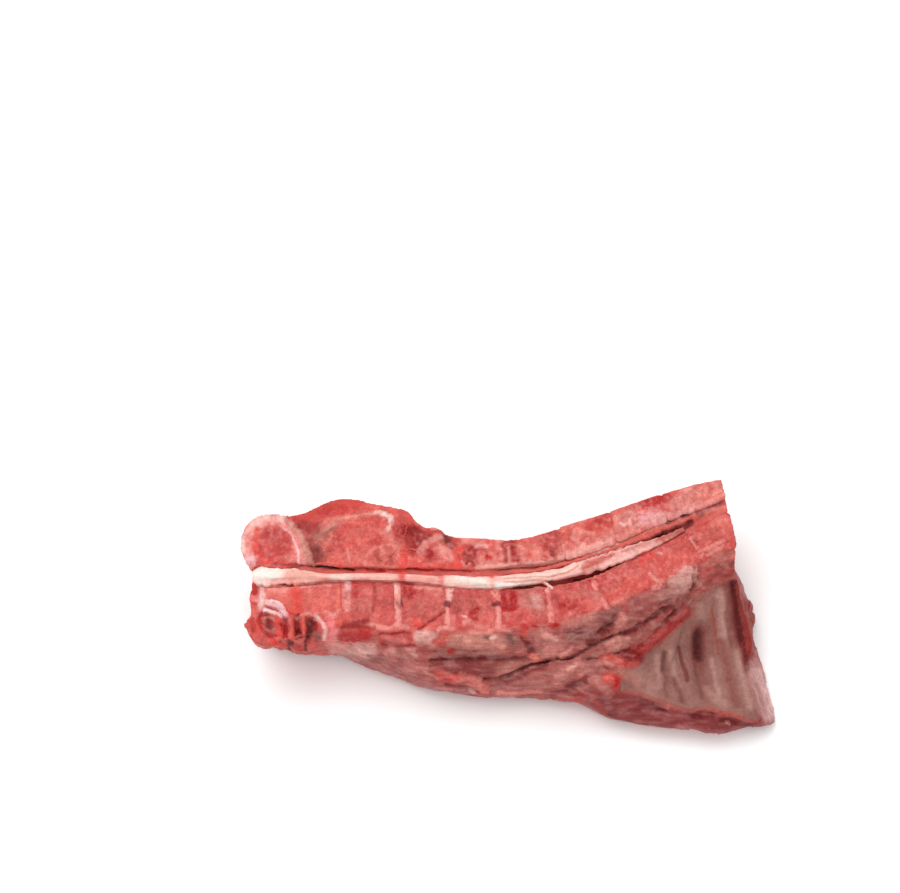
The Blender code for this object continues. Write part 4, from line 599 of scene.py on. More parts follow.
RIDGE_STROKES = [
    ("olive muscle", "mauve_grey", 9, 0.95, 0.4, 0.6, [(572, 634), (586, 627), (600, 621), (612, 616)]),
    ("olive pale", "fascia", 4.5, 0.8, 0.4, 0.7, [(572, 624), (584, 620), (594, 617)]),
    ("olive light", "fascia_grey", 2, 0.6, 0.3, 0.7, [(576, 642), (588, 637)]),
    ("olive streak 1", "grey_dark", 1, 0.95, -0.6, 0.4, [(569, 640), (577, 635), (588, 631)]),
    ("olive streak 2", "grey_dark", 0.9, 0.9, -0.5, 0.4, [(567, 634), (574, 631), (580, 629)]),
    ("olive streak 4", "fascia_grey", 0.9, 0.5, 0.3, 0.5, [(573, 638), (584, 634), (592, 631)]),
    ("deep muscle", "tissue_mauve", 5, 0.95, -0.7, 0.5, [(590, 642), (600, 634), (609, 627)]),
    ("deep muscle 2", "muscle_dark_and_shade", 4, 0.95, -0.6, 0.6, [(604, 628), (612, 621), (618, 617)]),
    ("deep streak", "muscle_deep", 1.5, 0.9, -0.6, 0.5, [(596, 633), (606, 626), (615, 621)]),
    ("triangle", "fascia_pale", 4.4, 0.7, 0.9, 0.5, [(619, 624), (623, 619), (621, 616)]),
    ("triangle red", "fascia_pale", 1.2, 0.9, 0.2, 0.5, [(622, 614), (624, 618)]),
    ("triangle right", "fascia_grey", 3, 0.5, 0.4, 0.6, [(629, 622), (634, 618)]),
    ("fascia block", "fascia", 5.5, 0.95, 0.8, 0.5, [(611, 647), (618, 642), (625, 641)]),
    ("fascia block light", "rim_mid", 1.8, 0.4, 0.3, 0.7, [(612, 641), (619, 637)]),
    ("fascia strip", "mauve_grey", 3.6, 0.5, 0.2, 0.7, [(576, 656), (590, 652), (602, 650)]),
    ("lower streak", "mauve_grey", 3, 0.85, 0.1, 0.7, [(584, 660), (600, 656), (614, 655)]),
    ("strip line", "slit_soft", 0.9, 0.85, -0.6, 0.5, [(588, 659), (602, 656), (616, 653), (630, 648)]),
    ("streak muscle", "muscle_dark_and_shade", 3, 0.95, -1.1, 0.6, [(626, 633), (640, 625), (652, 617), (664, 610)]),
    ("streak muscle right", "tissue_mauve", 3, 0.9, -0.8, 0.6, [(664, 610), (676, 604), (686, 597)]),
    ("streak light", "tan_grey", 1.5, 0.8, 0.3, 0.6, [(630, 627), (642, 620), (654, 612)]),
    ("streak light two", "tan_grey", 2.6, 0.8, 0.3, 0.7, [(632, 640), (644, 632), (656, 624)]),
    ("swirl ground", "salmon_dull", 6, 0.9, -0.1, 0.6, [(634, 606), (644, 600)]),
    ("swirl ring", "brown_red", 1.6, 0.6, 0.9, 0.5, [
        (627, 611), (626, 603), (632, 597), (642, 594.5), (652, 594)
    ]),
    ("swirl heart", "brown_red", 2.6, 0.6, -0.7, 0.6, [(633, 607), (640, 602), (648, 600)]),
    ("swirl low", "bruise_soft", 2.6, 0.5, 0.5, 0.6, [(630, 614), (640, 610), (650, 606), (658, 601)]),
    ("blob ground", "gristle_light", 9, 1, 1.5, 0.4, [(676, 586), (684, 580), (688, 576)]),
    ("blob low", "gristle_pink", 5.5, 0.9, 0.7, 0.6, [(672, 592), (680, 592)]),
    # blob light is a painted highlight on the gristle blob.
    ("blob light", "fascia_white", 3.4, 0.85, 0.3, 0.7, [(680, 573.5), (688, 572)]),
    ("blob grey", "gristle", 4.5, 0.7, 0.3, 0.6, [(661, 597), (668, 592), (672, 588)]),
    ("blob dark", "shadow_deep", 2.2, 0.7, -1, 0.5, [(693, 576), (694, 584), (691, 592)]),
    ("blob dark left", "bruise_soft", 2.5, 0.85, -0.6, 0.6, [(660, 604), (670, 600)]),
    ("side nodule", "gristle", 2.6, 0.95, 0.9, 0.5, [(696, 581), (699, 584)]),
    ("side red", "meat_red", 4, 0.75, 0.2, 0.7, [(704, 574), (714, 569)]),
    ("side brown", "fascia_dull", 6, 0.9, 0, 0.6, [(706, 562), (718, 556), (730, 553)]),
    ("side brown low", "brown_red", 5, 0.85, 0, 0.7, [(716, 577), (728, 573), (735, 568)]),
    # side hollow and side hollow up are painted shade in the hollow beside the ridge.
    ("side hollow", "muscle_mid", 3.6, 0.6, -0.9, 0.9, [(718, 569), (726, 565)]),
    ("side hollow up", "salmon_dull", 2, 0.4, -0.6, 0.9, [(724, 557), (730, 551)]),
    ("side light", "fascia_pale", 1.6, 0.8, 0.4, 0.6, [(707, 555), (716, 550), (724, 545)]),
    ("side light low", "salmon", 2, 0.7, 0.2, 0.7, [(730, 560), (735, 556)]),
    ("crevice", "muscle_deep", 2.2, 1, -1.2, 0.5, [
        (640, 648), (650, 640), (662, 627), (676, 611), (688, 599), (700, 590)
    ]),
    ("ridge ground", "brown_heart", 5.5, 0.95, 0.7, 0.7, [
        (632, 656), (644, 648), (656, 639), (666, 630), (676, 622), (686, 613)
    ]),
    ("ridge bright", "brown_red", 3, 0.9, 0.5, 0.8, [(652, 640), (658, 634), (664, 629)]),
    ("ridge bright two", "brown_red", 2.6, 0.85, 0.5, 0.6, [(674, 620), (682, 613), (688, 607)]),
    ("ridge upper", "salmon_tan", 2.6, 0.5, 0.5, 0.7, [(678, 606), (690, 597), (702, 588)]),
    ("ridge upper red", "pleura", 3, 0.6, 0.2, 0.7, [(690, 604), (702, 595), (714, 587)]),
    ("ridge clot", "clot_bright", 4.5, 1, -0.2, 0.8, [(627, 654), (634, 655), (640, 658)]),
    ("ridge clot deep", "clot_bright", 3, 0.7, -0.5, 0.5, [(630, 652), (636, 655)]),
    ("ridge low", "meat", 4, 0.9, 0.3, 0.6, [(612, 662), (624, 664), (636, 664)]),
    ("ridge left", "salmon_red", 3.5, 0.8, 0.3, 0.7, [(602, 658), (612, 657), (620, 660)]),
    ("ridge left pale", "fascia_pale", 2.4, 0.85, 0.4, 0.6, [(598, 664), (605, 662), (612, 666)]),
    ("ridge left dark", "brown_heart", 1.8, 0.8, -0.4, 0.6, [(606, 667), (616, 669)]),
    ("membrane left", "fascia", 5, 0.85, 0.2, 0.7, [(620, 672), (630, 676), (638, 682)]),
    ("membrane low", "muscle_pink", 5, 0.85, 0.2, 0.7, [(592, 676), (600, 684), (608, 690)]),
    ("nodule halo", "blood_bright", 5.2, 1, 0.9, 0.8, [(608, 679), (614, 680)]),
    ("nodule", "blood_vivid", 4.2, 1, 1.6, 0.5, [(612, 680), (613, 682)]),
    # nodule light is a painted highlight on the nodule.
    ("nodule light", "white_pink", 0.8, 0.2, 0.2, 0.6, [(610, 677), (611, 677.5)]),
    ("swirl muscle", "bruise", 2.4, 0.8, -0.5, 0.6, [(577, 684), (588, 675), (598, 671)]),
]
CHEST_STROKES = [
    ("border line", "fascia_dull", 1.5, 0.5, 0.6, 0.7, [
        (691, 598), (700, 591), (712, 585), (726, 581), (735, 579)
    ]),
    ("left field", "pleura_pale", 8, 0.7, 0.2, 0.9, [(640, 674), (648, 684), (656, 692)]),
    ("left field high", "pleura", 4, 0.6, 0, 0.9, [(646, 660), (654, 652)]),
    ("stripe 1", "pleura_white", 3, 0.6, 0.4, 0.9, [(656, 656), (658, 668), (661, 686)]),
    ("slit brown", "pleura_dark", 2.4, 0.85, -1, 0.8, [(664, 653), (664, 661), (664, 670)]),
    ("slit brown low", "pleura_grey", 2.6, 0.6, -0.4, 0.9, [(664, 672), (667, 684)]),
    ("stripe 2", "pleura_white", 2.8, 0.75, 0.4, 0.8, [(671, 652), (672, 664), (676, 680), (680, 694)]),
    ("slit red", "bruise_red", 1.9, 0.85, -0.8, 0.8, [(679, 648), (681, 658), (684, 668), (687, 680)]),
    ("slit red low", "rust_soft", 2.6, 0.85, -0.4, 0.9, [(674, 680), (678, 690), (682, 700)]),
    ("stripe 3", "pleura_grey", 3, 0.6, 0.4, 0.9, [(687, 638), (688, 654), (691, 672), (695, 692)]),
    # gap shade and gap maroon are painted shade in the gap between two ribs.
    ("gap shade", "maroon_grey", 8, 0.75, -0.6, 0.9, [(700, 630), (700, 645), (701, 662)]),
    ("gap maroon", "maroon", 5.5, 0.95, -1, 0.8, [(698, 634), (697, 646), (698, 656)]),
    # gap light is a painted highlight above the gap.
    ("gap light", "pleura_white", 3, 0.5, 0.2, 0.9, [(700, 606), (702, 617)]),
    ("gap fade", "rust_soft", 5, 0.7, -0.4, 0.9, [(700, 668), (703, 682), (706, 696)]),
    ("orange shade", "rust_soft", 3, 0.5, 0, 0.9, [(712, 620), (713, 645), (713, 680)]),
    ("orange line", "rust", 1.2, 0.75, -0.3, 0.8, [(712, 610), (714, 624), (716.5, 638), (719, 654)]),
    ("stripe 4", "pleura_white", 4.5, 0.9, 0.5, 0.8, [(720, 594), (722, 610), (725, 634)]),
    ("stripe 5", "maroon_grey", 4, 0.5, 0, 0.9, [(721, 642), (725, 660), (730, 682), (736, 704)]),
    ("stripe 5 edge", "pleura_white", 2.6, 0.75, 0.4, 0.9, [
        (733, 634), (737, 655), (743, 680), (750, 708)
    ]),
    ("low field", "pleura_white", 4, 0.6, 0.1, 0.9, [(706, 690), (714, 698), (724, 704)]),
    ("stripe 6", "pleura_white", 2.4, 0.7, 0.3, 0.9, [(712, 660), (715, 678), (719, 694)]),
    ("stripe 7", "pleura_dark", 2, 0.5, -0.4, 0.9, [(694, 664), (698, 680), (702, 698)]),
    ("stripe 8", "rust_soft", 1.6, 0.5, -0.3, 0.9, [(664, 686), (668, 697)]),
    ("stripe 9", "pleura_dark", 2, 0.45, -0.4, 0.9, [(725, 612), (728, 630), (732, 646)]),
    ("end shade", "maroon_grey", 4, 0.7, -0.3, 0.9, [(726, 585), (729, 604), (732, 624), (736, 646)]),
    ("end band", "clot", 4.2, 1, -0.4, 0.7, [(733.5, 583), (735, 600), (737.5, 620), (741, 640)]),
    ("end band low", "bruise_and_shade_deep", 3.6, 0.95, -0.4, 0.7, [(742, 642), (745, 655), (748, 670)]),
    ("end band foot", "bruise_soft", 3, 0.8, -0.2, 0.9, [(750, 674), (753, 686)]),
    ("end rust", "rust_deep", 4.5, 0.95, 0.8, 0.7, [
        (740, 588), (744, 604), (747, 620), (748.5, 636), (751, 650)
    ]),
    ("end rust bump", "rust_deep", 2.4, 0.8, 1.2, 0.7, [(749, 604), (750, 607)]),
    ("end rust bump low", "rust_deep", 2.6, 0.8, 1.2, 0.7, [(752, 617), (752, 621)]),
    ("end rust light", "brown_red", 1.6, 0.7, 0, 0.8, [(740, 586), (743, 597)]),
    ("end pink", "end_pink", 9, 0.9, 0.3, 0.8, [(758, 670), (762, 688), (767, 704), (771, 715)]),
    ("end pink high", "salmon_dull", 4, 0.8, 0.4, 0.8, [(756, 654), (758, 664)]),
    ("end pink light", "white_pink", 3, 0.5, 0.2, 0.9, [(767, 690), (775, 712)]),
    ("end pink line", "mauve_grey", 2, 0.4, -0.3, 0.9, [(756, 684), (762, 702), (766, 714)]),
    ("rim line", "rim_red", 1.4, 0.8, 0.8, 0.7, [
        (622, 692), (636, 693), (648, 697.5), (661, 703), (674, 708), (687, 712)
    ]),
    ("rim line right", "rim_red", 1.4, 0.9, 0.7, 0.7, [
        (690, 713), (700, 709.5), (709, 709.5), (720, 712), (732, 715), (744, 718.5), (756, 721)
    ]),
    # rim dark 1 to 3 are painted shade under the chest's lower rim.
    ("rim dark 1", "muscle_dark_and_shade", 3.2, 0.9, -1, 0.7, [(641, 703), (652, 706.5), (664, 710)]),
    ("rim dark 2", "bruise_and_shade_deep", 3, 0.9, -0.9, 0.7, [(692, 717), (702, 717), (712, 716)]),
    ("rim dark 3", "bruise_and_shade_deep", 2.4, 0.85, -0.6, 0.8, [(722, 720.5), (736, 722.5), (748, 725)]),
    ("rim dark 4", "muscle_dark_and_shade", 2.2, 0.5, -0.5, 0.9, [(598, 699), (608, 703), (616, 708)]),
    ("rim fibres", "salmon_dull", 1.3, 0.6, 0.4, 0.8, [(642, 711), (656, 713), (670, 714.5)]),
    ("rim fibres two", "muscle_pink", 1.1, 0.6, 0.4, 0.8, [(655, 705), (668, 708.5)]),
    # rim spark is a painted highlight.
    ("rim spark", "tan_cream", 1.2, 0.5, 0.4, 0.8, [(726, 723), (729, 724.5)]),
    ("belly brown", "cut_red", 5, 0.85, 0, 0.8, [(612, 708), (628, 716), (648, 722), (668, 727)]),
    ("belly light", "cut_red", 4, 0.85, 0, 0.9, [(588, 702), (600, 709), (610, 716)]),
    ("belly mauve", "mauve_edge", 3.5, 0.75, 0, 0.8, [(680, 728), (696, 732), (712, 734)]),
    ("belly hollow", "bruise_and_shade_deep", 2.4, 0.7, -0.5, 0.8, [(610, 714), (616, 716)]),
]
CORD_STROKES = [
    ("head white", "white", 8, 1, 0, 0.6, [(258, 577), (268, 575), (278, 573)]),
    ("head cream", "cream", 3.5, 0.9, 0, 0.7, [(282, 571), (296, 572), (308, 574)]),
    ("tan body", "tan_cream", 6, 0.8, 0, 0.7, [(292, 577), (308, 578), (322, 578)]),
    ("cream body", "cream_pink", 3, 0.85, 0, 0.7, [(312, 574), (324, 575), (334, 576)]),
    ("fold", "salmon_pale", 2.4, 0.5, -0.3, 0.6, [(272, 585), (282, 583), (294, 583), (304, 584)]),
    ("fold line", "bruise_red", 0.8, 0.85, -0.4, 0.5, [(280, 586), (292, 585.5)]),
    ("smear 1", "orange_red", 3, 0.75, 0, 0.7, [(336, 570), (338, 577), (341, 583)]),
    ("smear 1 left", "salmon_red", 2.6, 0.5, 0, 0.8, [(317, 583), (324, 581), (331, 581)]),
    ("cream 2", "cream", 4, 0.95, 0, 0.6, [(334, 577), (342, 578), (350, 579)]),
    ("smear 2", "salmon_red", 3, 0.5, 0, 0.7, [(354, 582), (362, 581), (370, 580)]),
    ("cream 3", "cream_pink", 4, 0.95, 0, 0.6, [(373, 578), (382, 578), (393, 578)]),
    ("smear 3", "orange_red", 3.4, 0.8, 0.1, 0.8, [(402, 570), (402, 577), (403, 584)]),
    ("smear 3 wide", "salmon", 3.5, 0.6, 0, 0.9, [(398, 583), (410, 584)]),
    ("cream 4", "salmon_cream", 3.5, 0.9, 0, 0.6, [(412, 579), (424, 580), (434, 581)]),
    ("smear 4", "orange_red", 2.6, 0.6, 0, 0.9, [(438, 572), (442, 579), (440, 586)]),
    ("white 5", "cream", 5, 1, 0, 0.6, [(450, 579), (462, 580), (476, 582), (486, 583)]),
    ("nodule", "salmon_red", 3.8, 1, 0.7, 0.5, [(489, 573), (494, 574)]),
    ("nodule heart", "blood_bright", 2.2, 0.9, 0.2, 0.6, [(491, 575), (494, 575)]),
    ("white 6", "white", 3.5, 0.95, 0, 0.7, [(498, 585), (514, 585), (530, 584)]),
    ("cream 6", "cream", 4, 0.9, 0, 0.7, [(506, 579), (526, 578), (546, 576)]),
    ("line 1", "mauve_pink", 0.8, 0.9, -0.4, 0.5, [(504, 578.5), (520, 578), (536, 577.6), (551, 577.4)]),
    ("line 2", "salmon_pale", 0.8, 0.4, -0.4, 0.5, [(504, 582.5), (522, 582), (540, 581), (552, 580)]),
    ("cream 7", "cream", 4, 0.9, 0, 0.7, [(552, 574), (566, 570), (580, 565)]),
    ("line 3", "salmon_pale", 0.9, 0.9, -0.3, 0.5, [(552, 577), (566, 573), (578, 568)]),
    ("right rust", "marrow_tan", 3.4, 0.9, 0, 0.7, [(584, 570), (596, 566), (608, 560), (622, 553)]),
    ("right cream", "rim", 2, 0.8, 0.1, 0.6, [(580, 561), (594, 556), (608, 550.5), (620, 547)]),
    ("right salmon", "fascia_dull", 6, 0.9, 0, 0.7, [(626, 551), (644, 543), (662, 535), (682, 527)]),
    ("right tip", "brown_salmon", 5, 0.85, 0, 0.8, [(660, 536), (676, 530), (692, 524)]),
    ("fray", "white", 2, 1, 0, 0.6, [(549, 582), (554, 586), (558, 589)]),
    ("white 5 heart", "white", 2.4, 0.8, 0.2, 0.8, [(456, 578), (470, 580), (484, 582)]),
]

# The outline of the lining of the chest, which reaches a little over what its tone covers.
LINING_OUTLINE = [
    (618, 674), (626, 664), (636, 655), (652, 646), (672, 630), (685, 612), (694, 597), (710, 586),
    (732, 578), (737, 600), (741, 620), (746, 650), (752, 680), (761, 719), (756, 721), (728, 715),
    (704, 711), (692, 714), (664, 708), (644, 699), (620, 693),
]
# Broad grounds under the strokes: name, tone, strength, how fibrous, softness in pixels and outline.
AREAS = [
    ("sawn back", "salmon", 0.8, 0.3, 5, [
        (243, 514), (290, 500), (348, 490), (420, 510), (450, 530), (520, 530), (728, 470), (738, 560),
        (600, 615), (500, 645), (340, 660), (250, 645),
    ]),
    ("flank", "muscle_mid", 0.9, 0.8, 5, [
        (318, 648), (345, 632), (400, 634), (450, 631), (500, 631), (560, 622), (600, 610), (650, 588),
        (700, 560), (740, 545), (740, 578), (690, 612), (640, 655), (600, 700), (480, 700), (400, 682),
    ]),
    ("chest wall", "pleura", 0.95, 0.0, 3, [
        (626, 672), (644, 659), (661, 652), (675, 643), (684, 629), (692, 617), (701, 599), (712, 589),
        (727, 584), (738, 581), (743, 620), (749, 670), (757, 719), (728, 713), (706, 708), (694, 712),
        (666, 705), (644, 695), (622, 691),
    ]),
    ("end cut", "bruise_dark", 0.8, 0.4, 3, [
        (737, 560), (744, 588), (757, 640), (785, 722), (758, 722), (750, 680), (740, 620),
    ]),
    ("belly", "cut", 0.8, 0.8, 4, [
        (590, 690), (640, 696), (668, 708), (708, 712), (755, 721), (790, 722), (740, 745), (700, 745),
        (620, 730),
    ]),
]

# The outlines that spots are scattered in.
ATLAS_PLACE = [(243, 520), (290, 512), (312, 565), (246, 572)]
AXIS_PLACE = [(318, 524), (400, 508), (414, 566), (322, 566)]
ARCH_PLACE = [(412, 528), (450, 540), (560, 530), (566, 560), (412, 570)]
SPINE_PLACE = [(560, 525), (728, 474), (728, 512), (640, 542), (560, 560)]
BODY_PLACE = [(300, 584), (560, 584), (560, 630), (300, 624)]
CHEST_BODY_PLACE = [(560, 584), (735, 512), (740, 562), (640, 602), (560, 632)]
FLANK_PLACE = [
    (330, 645), (430, 634), (560, 628), (650, 586), (738, 552), (738, 578), (690, 610), (640, 655),
    (600, 704), (480, 700), (400, 684),
]
BELLY_PLACE = [(590, 690), (640, 696), (708, 712), (785, 722), (740, 745), (620, 732)]

# Scattered spots: name, tone, size in millimetres, strength, share covered, stretch along the neck and
# outline.
FLECKS = [
    ("atlas pale", "rim", 2.4, 0.16, 0.3, 1, ATLAS_PLACE),
    ("axis red", "blood_meat", 2.6, 0.3, 0.25, 1, AXIS_PLACE),
    ("axis pale", "rim_mid", 2.0, 0.25, 0.25, 1, AXIS_PLACE),
    ("arches dark", "brown_heart", 3.0, 0.32, 0.22, 1, ARCH_PLACE),
    ("arches pale", "rim_mid", 2.4, 0.36, 0.32, 1, ARCH_PLACE),
    ("spines red", "blood_meat", 2.4, 0.32, 0.22, 1, SPINE_PLACE),
    ("spines pale", "mauve_pink", 2.6, 0.38, 0.32, 1, SPINE_PLACE),
    ("bodies dark", "meat_dark", 1.8, 0.22, 0.25, 1, BODY_PLACE),
    ("bodies pale", "rim_mid", 1.8, 0.2, 0.25, 1, BODY_PLACE),
    ("chest bodies dark", "meat_dark", 2.2, 0.22, 0.2, 1, CHEST_BODY_PLACE),
    ("chest bodies pale", "rim_mid", 2.2, 0.28, 0.28, 1, CHEST_BODY_PLACE),
    ("flank dark", "muscle_deep", 3.0, 0.27, 0.25, 0.3, FLANK_PLACE),
    ("flank milk", "fascia_white", 2.4, 0.2, 0.3, 0.35, FLANK_PLACE),
    ("belly dark", "muscle_deep", 2.4, 0.25, 0.22, 0.3, BELLY_PLACE),
    ("belly milk", "mauve_edge", 2.4, 0.4, 0.4, 0.3, BELLY_PLACE),
]

# Strokes of the side that lies on the table, as (x, y + z) in millimetres, with half widths in millimetres.
OUTER_STROKES = [
    ("back muscle head", "outer_red", 14, 0.9, 0.5, 0.4, [(-132, 72), (-100, 76), (-70, 78), (-40, 66)]),
    ("back muscle", "outer_red", 13, 0.9, 0.5, 0.4, [(-40, 62), (0, 60), (40, 68), (80, 86), (118, 98)]),
    ("middle muscle", "outer_dark", 9, 0.9, 0.6, 0.5, [
        (-72, 42), (-30, 38), (10, 37), (50, 45), (90, 60), (122, 68)
    ]),
    ("lower muscle", "outer_red", 9, 0.9, 0.6, 0.5, [
        (-126, 34), (-90, 26), (-50, 14), (0, 10), (40, 14), (72, 22)
    ]),
    ("throat muscle", "outer_pink", 9, 0.85, 0.3, 0.6, [
        (-110, 2), (-70, -6), (-30, -20), (20, -26), (50, -30)
    ]),
    ("chest muscle", "outer_red", 15, 0.85, 0.3, 0.6, [(62, -14), (92, -4), (124, 6)]),
    ("chest muscle low", "outer_dark", 9, 0.8, 0.2, 0.7, [(60, -38), (92, -36), (124, -30)]),
    ("back shade", "outer_dark", 6, 0.6, -0.3, 0.9, [(-120, 84), (-84, 88), (-50, 80), (-24, 68)]),
    ("back shade chest", "outer_dark", 5, 0.6, -0.3, 0.9, [(10, 70), (50, 84), (90, 98)]),
    ("seam back", "fat_cream", 4, 0.75, 0.4, 0.8, [
        (-96, 56), (-60, 54), (-20, 50), (20, 50), (50, 57), (84, 73), (122, 84)
    ]),
    ("seam middle", "fat_cream", 4, 0.7, 0.4, 0.8, [
        (-100, 42), (-60, 30), (-14, 25), (30, 27), (60, 35), (92, 47), (124, 52)
    ]),
    ("seam throat", "fat_cream", 3.4, 0.65, 0.3, 0.8, [
        (-122, 18), (-76, 6), (-32, -7), (10, -12), (44, -8), (60, 2)
    ]),
    ("head fat", "fat_cream", 8, 0.8, 0.5, 0.8, [(-120, 54), (-108, 50)]),
    ("neck fat", "fat_white", 6, 0.8, 0.5, 0.8, [(-46, 29), (-30, 27), (-14, 24)]),
    ("neck fat back", "fat_cream", 6, 0.75, 0.5, 0.8, [(-8, 49), (10, 49)]),
    ("shoulder fat", "fat_cream", 6, 0.75, 0.4, 0.8, [(66, 62), (78, 68)]),
    ("chest fat", "fat_cream", 6, 0.75, 0.4, 0.8, [(72, 38), (86, 42)]),
    ("edge fat", "fat_cream", 4, 0.7, 0.4, 0.8, [(50, -50), (78, -54), (104, -57), (126, -52)]),
    ("rib band one", "fat_cream", 3.2, 0.6, 0.4, 0.8, [(68, -46), (71, -20), (76, 6)]),
    ("rib band two", "fat_cream", 3.2, 0.6, 0.4, 0.8, [(88, -50), (92, -22), (96, 14)]),
    ("rib band three", "fat_cream", 3.2, 0.6, 0.4, 0.8, [(109, -50), (112, -22), (115, 20)]),
    ("strand", "outer_deep", 2, 0.6, -0.4, 0.8, [(-118, 64), (-84, 66), (-48, 60)]),
    ("strand low", "outer_deep", 2, 0.6, -0.4, 0.8, [(-100, 16), (-60, 10), (-20, 2), (24, 2), (56, 8)]),
    ("red spot", "blood_vivid", 3, 0.6, 0, 0.8, [(-84, 34), (-80, 33)]),
    ("gristle spot", "silver", 3.4, 0.7, 0.5, 0.8, [(-70, 26), (-66, 25)]),
]
OUTER_PLACE = [(-150, -90), (145, -90), (145, 125), (-150, 125)]
OUTER_FLECKS = [
    ("fat films", "fat_cream", 12, 0.45, 0.2, 0.4, OUTER_PLACE),
    ("dark meat", "outer_deep", 8, 0.5, 0.3, 0.35, OUTER_PLACE),
    ("pale strands", "outer_pink", 3.2, 0.45, 0.3, 0.2, OUTER_PLACE),
    ("dark strands", "outer_deep", 2.6, 0.35, 0.25, 0.2, OUTER_PLACE),
]

# ---------------------------------------------------------------- places on the neck

# The spinal canal's middle as (x, y), how far it reaches to both sides, and how far its lining lies under
# the sawn face. Towards the chest a ligament raises its roof side.
CANAL_MIDDLE = [
    (-138, 8), (-88, 9.1), (-59, 8.4), (-33, 7.2), (-6, 6.2), (20, 8.8), (48, 16), (76, 30), (104, 44),
    (119, 53),
]
CANAL_REACH = 7.5
CANAL_BED = 2.2
CANAL_DEPTH = 9.0
LIGAMENT_HEIGHT = 1.7
FLOOR_SIDE_HEIGHT = 0.4

# Along the neck: where the cord starts, where the backbone is cut at the head and behind the third rib, how
# far from the head the cord's swollen end reaches, and where its waist and its torn sheath lie.
CORD_END = -136.5
HEAD_END = -134.0
CHEST_END = 122.0
CORD_TAPER = 46.0
CORD_WAIST = (-112, -96, -44, -30)
CORD_TORN = (28, 45, 66, 90)

# The line of the back behind the chest's spines, as (x, y), and the notches under them.
CHEST_BACK = [(20, 35.3), (23, 36.3), (49, 44.8), (76, 55.3), (102, 63.8), (117, 66.8), (130, 68.5)]
NOTCH_HEIGHTS = (24.0, SAWN_HEIGHT - 1.5)
NOTCH_DEPTH = 5.0

# The outline of the cut behind the third rib: place down and across, and the width of its slope, in pixels.
END_EDGE = [
    (560, 737, 0), (581, 740.5, 4), (593, 743.5, 5.5), (605, 749.5, 9), (617, 752.5, 9), (629, 751, 7),
    (641, 752.5, 6), (665, 761, 3), (701, 773, 0),
]
END_PLACE = (564, 578, 655, 690)  # how far down the picture the stretch reaches
END_REACH = 22.0  # how far from the outline the stretch starts, in pixels
THIN_RATIO = 0.6  # the share of the flesh's triangles that stays when its underside is thinned

# ---------------------------------------------------------------- paint and relief on a mesh


def linear(display):
    """The linear colour of a surface that looks like a display colour, 0 to 255, in the studio's light.

    The light is a little brighter than a plain white, and the wet film adds a veil of it.
    """
    share = np.asarray(display, float) / 255
    seen = np.where(share <= 0.04045, share / 12.92, ((share + 0.055) / 1.055) ** 2.4)
    return np.clip((seen - VEIL) / LIGHT, 0.004, 1)


def ease(value, low, high):
    """0 below low, 1 above high, and a smooth way between."""
    share = np.clip((value - low) / (high - low), 0, 1)
    return share * share * (3 - 2 * share)


def between(value, rise, full, fall, end):
    """0 outside rise and end, 1 between full and fall, and a smooth way between."""
    return ease(value, rise, full) * (1 - ease(value, fall, end))


def along(line, x):
    """A line's second coordinate at each x."""
    return np.interp(x, *np.array(line, float).T)


def picture(points):
    """Where points, in millimetres, fall in the camera's frame."""
    away = points - EYE
    depth = away @ AHEAD
    across = PICTURE[0] / 2 + FOCAL * (away @ RIGHT) / depth
    down = PICTURE[1] / 2 - FOCAL * (away @ UP) / depth
    return np.stack([across, down], axis=1)


def grains(points, size, shift=0.0):
    """Smooth noise from -1 to 1 at each point, with lumps of that size in millimetres."""
    return np.array([noise.noise(Vector(p)) for p in points / size + shift])


def wander(points, size, shift=0.0):
    """Two noises side by side, which move a place in the camera's frame."""
    return np.array([noise.noise_vector(Vector(p))[:2] for p in points / size + shift])


def smooth_line(points, steps=4):
    """A Catmull-Rom curve through the points."""
    knots = np.array(points, float)
    if len(knots) < 3:
        return knots
    padded = np.vstack([2 * knots[0] - knots[1], knots, 2 * knots[-1] - knots[-2]])
    line = []
    for a, b, c, d in zip(padded, padded[1:], padded[2:], padded[3:]):
        for t in np.arange(steps) / steps:
            line.append(
                b + 0.5 * t * (c - a + t * (2 * a - 5 * b + 4 * c - d + t * (3 * (b - c) + d - a)))
            )
    return np.array(line + [knots[-1]])


def line_distance(places, line):
    """Distance from each place to a line."""
    best = np.full(len(places), np.inf)
    for start, end in zip(line, line[1:]):
        run = end - start
        share = np.clip((places - start) @ run / max(run @ run, 1e-9), 0, 1)
        best = np.minimum(best, np.linalg.norm(places - start - share[:, None] * run, axis=1))
    return best


def inside(places, outline):
    """Whether each place lies inside a closed outline."""
    found = np.zeros(len(places), bool)
    for (ax, ay), (bx, by) in zip(outline, np.roll(outline, -1, axis=0)):
        crosses = (places[:, 1] < ay) != (places[:, 1] < by)
        at = ax + (places[:, 1] - ay) / (by - ay + 1e-9) * (bx - ax)
        found ^= crosses & (places[:, 0] < at)
    return found


def read_points(mesh, name):
    """An attribute of every point of a mesh, as rows of three numbers."""
    values = np.empty(len(mesh.vertices) * 3)
    mesh.vertices.foreach_get(name, values)
    return values.reshape(-1, 3)


